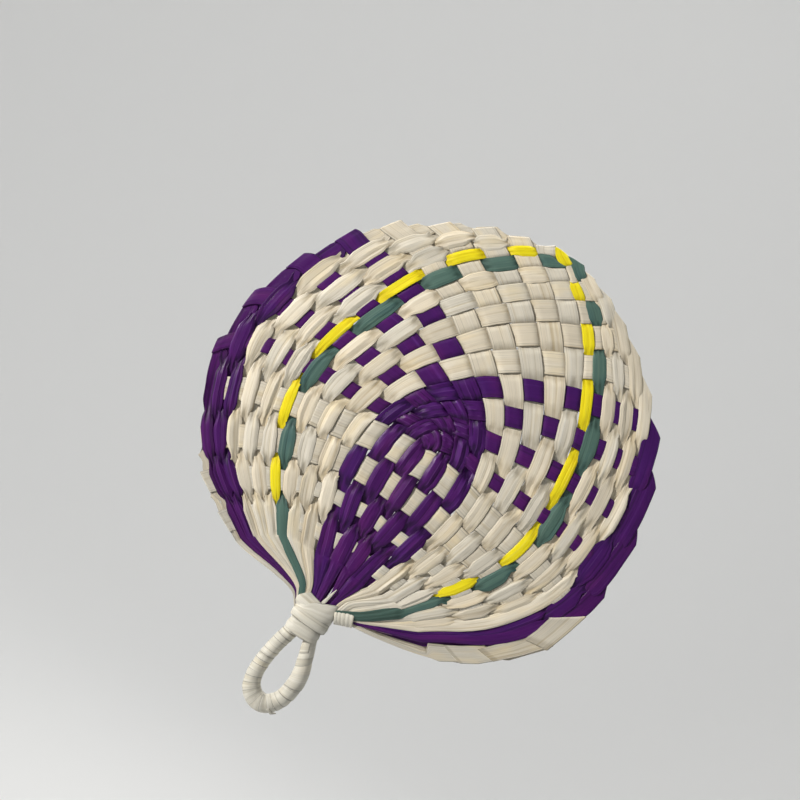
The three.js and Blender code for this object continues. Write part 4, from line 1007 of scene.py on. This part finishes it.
def wisp(name, points, widths_, level, seed, material, body=None):
    """A loose sliver of leaf: points of (across, up) with half widths, standing at the given heights in mm."""
    k = np.linspace(0, 1, len(points))
    g = np.linspace(0, 1, 28)
    mid = np.stack([np.interp(g, k, np.array(points)[:, q]) for q in (0, 1)], -1)
    half = np.interp(g, k, widths_)[:, None]
    way = np.gradient(mid, axis=0)
    way = np.stack([way[:, 1], -way[:, 0]], -1) / length(way)[:, None]
    t = T[None]
    wob = Wobble(seed)
    w = np.interp(g, k, level)[:, None] + 0.25 * (1 - np.abs(t)) + 0.15 * wob(4 * g)[:, None] * t
    xyz = world(mid[:, None] + way[:, None] * (half * t)[..., None], w)
    ob = sheet_object(name, xyz, 0.16 * MM * EDGE[None], ACROSS[None], 2 * g[:, None], None, creases=[len(T) // 2])
    ob.data.materials.append(material)
    if body:
        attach(ob, body)
    else:
        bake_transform(ob)
    return ob


wisp("loop_wisp", [(9, -105), (13, -110), (17.5, -111.8), (22, -109.5)], [2.0, 1.9, 1.5, 0.5], [4.9, 5.0, 3.9, 2.9], 821,
     binding("loop_wisp_leaf", 9, 0.9), "handle")
wisp("neck_wisp", [(-0.5, 3), (0.9, 11), (2.6, 19), (4.4, 27.5)], [2.4, 2.0, 1.5, 0.3], [1.6, 2.6, 2.8, 3.0], 811,
     binding("neck_wisp_leaf", 8))


def smooth_path(points, n):
    """Evenly spaced points on a smooth curve through the given ones."""
    pts = np.asarray(points, float)
    d = np.concatenate([[0], np.cumsum(np.linalg.norm(np.diff(pts, axis=0), axis=1) ** 0.5)])
    ext = np.vstack([2 * pts[0] - pts[1], pts, 2 * pts[-1] - pts[-2]])
    fine = []
    for k in range(len(pts) - 1):
        p0, p1, p2, p3 = ext[k], ext[k + 1], ext[k + 2], ext[k + 3]
        t = np.linspace(0, 1, 40, endpoint=False)[:, None]
        fine.append(0.5 * ((2 * p1) + (-p0 + p2) * t + (2 * p0 - 5 * p1 + 4 * p2 - p3) * t ** 2 + (-p0 + 3 * p1 - 3 * p2 + p3) * t ** 3))
    fine = np.vstack(fine + [pts[-1:]])
    s = np.concatenate([[0], np.cumsum(np.linalg.norm(np.diff(fine, axis=0), axis=1))])
    g = np.linspace(0, s[-1], n)
    return np.stack([np.interp(g, s, fine[:, 0]), np.interp(g, s, fine[:, 1])], -1), s[-1]


def helix(name, path, radius, deep, pitch_at, width, seed, material, nodes, lift=0.34, start=0.0, slack=0.12, ply=0.2):
    """Leaf ribbon wound round a path in the sheet plane: each turn lies over the edge of the one before.
    radius and deep are the rope's half sizes (mm) in and across the plane, along the path as functions of 0..1."""
    pts, total = smooth_path(path, 600)
    total_mm = total * 0.65
    s_grid = np.linspace(0, total_mm, 600)
    tan = np.gradient(pts, axis=0)
    tan /= np.linalg.norm(tan, axis=1)[:, None]
    # centre of the ribbon along the path for each angle
    phi, pos = [start], [0.0]
    step = 2 * math.pi / 44
    while pos[-1] < total_mm:
        phi.append(phi[-1] + step)
        pos.append(pos[-1] + pitch_at(pos[-1] / total_mm) * step / (2 * math.pi))
    phi, pos = np.array(phi), np.array(pos)
    wob = [Wobble(seed + k) for k in range(5)]
    turn = phi / (2 * math.pi)
    pos = pos + slack * 4 * wob[0](turn * 1.3) * 0.5
    half = np.array([width(q / total_mm) for q in pos]) / 2 * (1 + 0.12 * wob[1](turn * 0.8))
    t = TB[None]
    s = np.clip(pos[:, None] + half[:, None] * t, 0.0, total_mm)
    k = s / total_mm
    r_in = radius(k)
    r_out = deep(k)
    r = lift * (1 - 0.45 * smooth(k, 0.72, 0.95)) * (0.5 - 0.5 * t) + 0.10 * wob[2](turn * 3)[:, None] + 0.10 * np.cos(4.0 * t + 3 * wob[3](turn * 1.1)[:, None]) + 0.18 * (1 - t ** 2)
    ang = phi[:, None] + 0.10 * wob[4](turn)[:, None] * t
    px, pu = np.interp(s, s_grid, pts[:, 0]), np.interp(s, s_grid, pts[:, 1])
    tx, tu = np.interp(s, s_grid, tan[:, 0]), np.interp(s, s_grid, tan[:, 1])
    nx, nu = tu, -tx
    c, sn = np.cos(ang), np.sin(ang)
    x = px * UNIT + nx * (r_in + r) * MM * c
    z = (pu - GRIP_U) * UNIT + nu * (r_in + r) * MM * c
    y = (r_out + r) * MM * sn
    p = np.stack([x, y, z], -1)
    run = np.concatenate([[0], np.cumsum(np.linalg.norm(np.diff(p[:, 6], axis=0), axis=1))]) / 0.012
    # painted shade in the valleys of the ribbon's crinkle, following the same wave as its radius
    painted_shade_and_highlight = np.broadcast_to(0.5 * np.cos(4.0 * t + 3 * wob[3](turn * 1.1)[:, None]), s.shape)
    ob = sheet_object(name, p[:, ::-1], ply * MM * EDGE_B[None], ((TB + 1) / 2)[None], run[:, None], painted_shade_and_highlight[:, ::-1])
    ob.data.materials.append(material)
    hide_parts(*nodes)
    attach(ob, "handle")
    return ob


def loop_pitch(k):
    return float(np.interp(k, [0, 0.3, 0.42, 0.60, 0.75, 1.0], [3.9, 4.1, 4.0, 4.4, 8.5, 10.5]))


def loop_radius(k):
    return 4.35 + 1.2 * np.exp(-((k - 0.49) / 0.13) ** 2) + 0.6 * np.exp(-((k - 0.74) / 0.09) ** 2) - 0.35 * smooth(np.abs(k - 0.5), 0.4, 0.5)


helix("loop_wrap", LOOP_PATH, loop_radius, lambda k: LOOP_R - 0.2 + 0 * k, loop_pitch, lambda k: 2.0 * loop_pitch(k), 501,
      binding("loop_wrap_leaf", 5), ["loop_wrap", "loop_core"], lift=0.8, start=0.6)
helix("right_collar", [[17.5, 3.0], [23, 5.6], [29, 8.2], [35.0, 10.8]], lambda k: 4.45 + 0.55 * k, lambda k: 3.8 + 0.45 * k,
      lambda k: 2.5, lambda k: 4.6, 521, binding("right_collar_leaf", 6), ["right_collar"], lift=0.55, start=1.0, slack=0.05)

# ------------------------------------------------------------------ stage, light, camera
floor_z = CAD_LO.z - 0.25
profile = [(0.0, 0.0), (0.5, 0.0), (1.2, 0.0)] + [
    (1.2 + 2.0 * math.sin(a), 2.0 * (1 - math.cos(a))) for a in np.linspace(0.05, math.pi / 2, 22)] + [(3.2, 3.2)]
ring = 96
verts, faces = [(0, 0, floor_z)], []
for r, h in profile[1:]:
    verts += [(r * math.cos(2 * math.pi * k / ring), r * math.sin(2 * math.pi * k / ring), floor_z + h) for k in range(ring)]
for k in range(ring):
    faces.append((0, 1 + k, 1 + (k + 1) % ring))
for q in range(len(profile) - 2):
    for k in range(ring):
        a, b = 1 + q * ring + k, 1 + q * ring + (k + 1) % ring
        faces.append((a, a + ring, b + ring, b))
me = bpy.data.meshes.new("stage_bowl")
me.from_pydata(verts, [], faces)
me.polygons.foreach_set("use_smooth", np.ones(len(me.polygons), bool))
bowl = link(bpy.data.objects.new("stage_bowl", me))
paint = bpy.data.materials.new("stage_paint")
paint.use_nodes = True
pb = paint.node_tree.nodes["Principled BSDF"]
pb.inputs["Base Color"].default_value = (0.78, 0.78, 0.77, 1)
pb.inputs["Roughness"].default_value = 0.9
pb.inputs["Specular IOR Level"].default_value = 0.1
bowl.data.materials.append(paint)

RIGHT = Vector((0.834, 0.0, 0.552)).normalized()
UP = Vector((-0.552, 0.0, 0.834)).normalized()
BACK = RIGHT.cross(UP)
AIM = Vector((-0.0309, -0.003, 0.1888))


def area(name, direction, distance, size, power, spread, colour=(1, 1, 1)):
    data = bpy.data.lights.new(name, "AREA")
    data.shape, data.size, data.energy, data.color = "SQUARE", size, power, colour
    data.spread = math.radians(spread)
    ob = link(bpy.data.objects.new(name, data))
    d = Vector(direction).normalized()
    ob.location = AIM + d * distance
    ob.rotation_mode = "QUATERNION"
    ob.rotation_quaternion = (-d).to_track_quat("-Z", "Y")
    return ob


area("key", -RIGHT * 0.88 + UP * 0.78 + BACK * 0.66, 1.9, 0.24, 2.12, 40, (1.0, 0.97, 0.93))
area("fill", RIGHT * 0.9 - UP * 0.1 + BACK * 1.0, 1.6, 1.2, 0.35, 180, (0.94, 0.97, 1.0))
area("rear", -BACK * 1.0 + UP * 0.8 + RIGHT * 0.3, 1.8, 0.8, 1.6, 50)
for name, way, power in (("backdrop", 1, 50.0), ("backdrop_rear", -1, 9.0)):
    area(name, (0, 0.15 * way, 1.0), 1.9, 1.6, power, 180)
    bpy.data.objects[name].rotation_quaternion = Vector((0, 1.0 * way, -0.6)).to_track_quat("-Z", "Y")
sky = bpy.data.worlds.new("sky")
sky.use_nodes = True
sky.node_tree.nodes["Background"].inputs["Color"].default_value = (0.93, 0.96, 1.0, 1)
sky.node_tree.nodes["Background"].inputs["Strength"].default_value = 0.07
bpy.context.scene.world = sky
bpy.context.scene.view_settings.view_transform = "Standard"
bpy.context.scene.view_settings.look = "None"

cam_data = bpy.data.cameras.new("camera")
cam_data.lens, cam_data.sensor_width = 60.0, 36.0
cam = link(bpy.data.objects.new("camera", cam_data))
cam.matrix_world = Matrix.Translation(AIM + BACK * 0.867) @ Matrix((
    (RIGHT.x, UP.x, BACK.x), (RIGHT.y, UP.y, BACK.y), (RIGHT.z, UP.z, BACK.z))).to_4x4()
bpy.context.scene.camera = cam
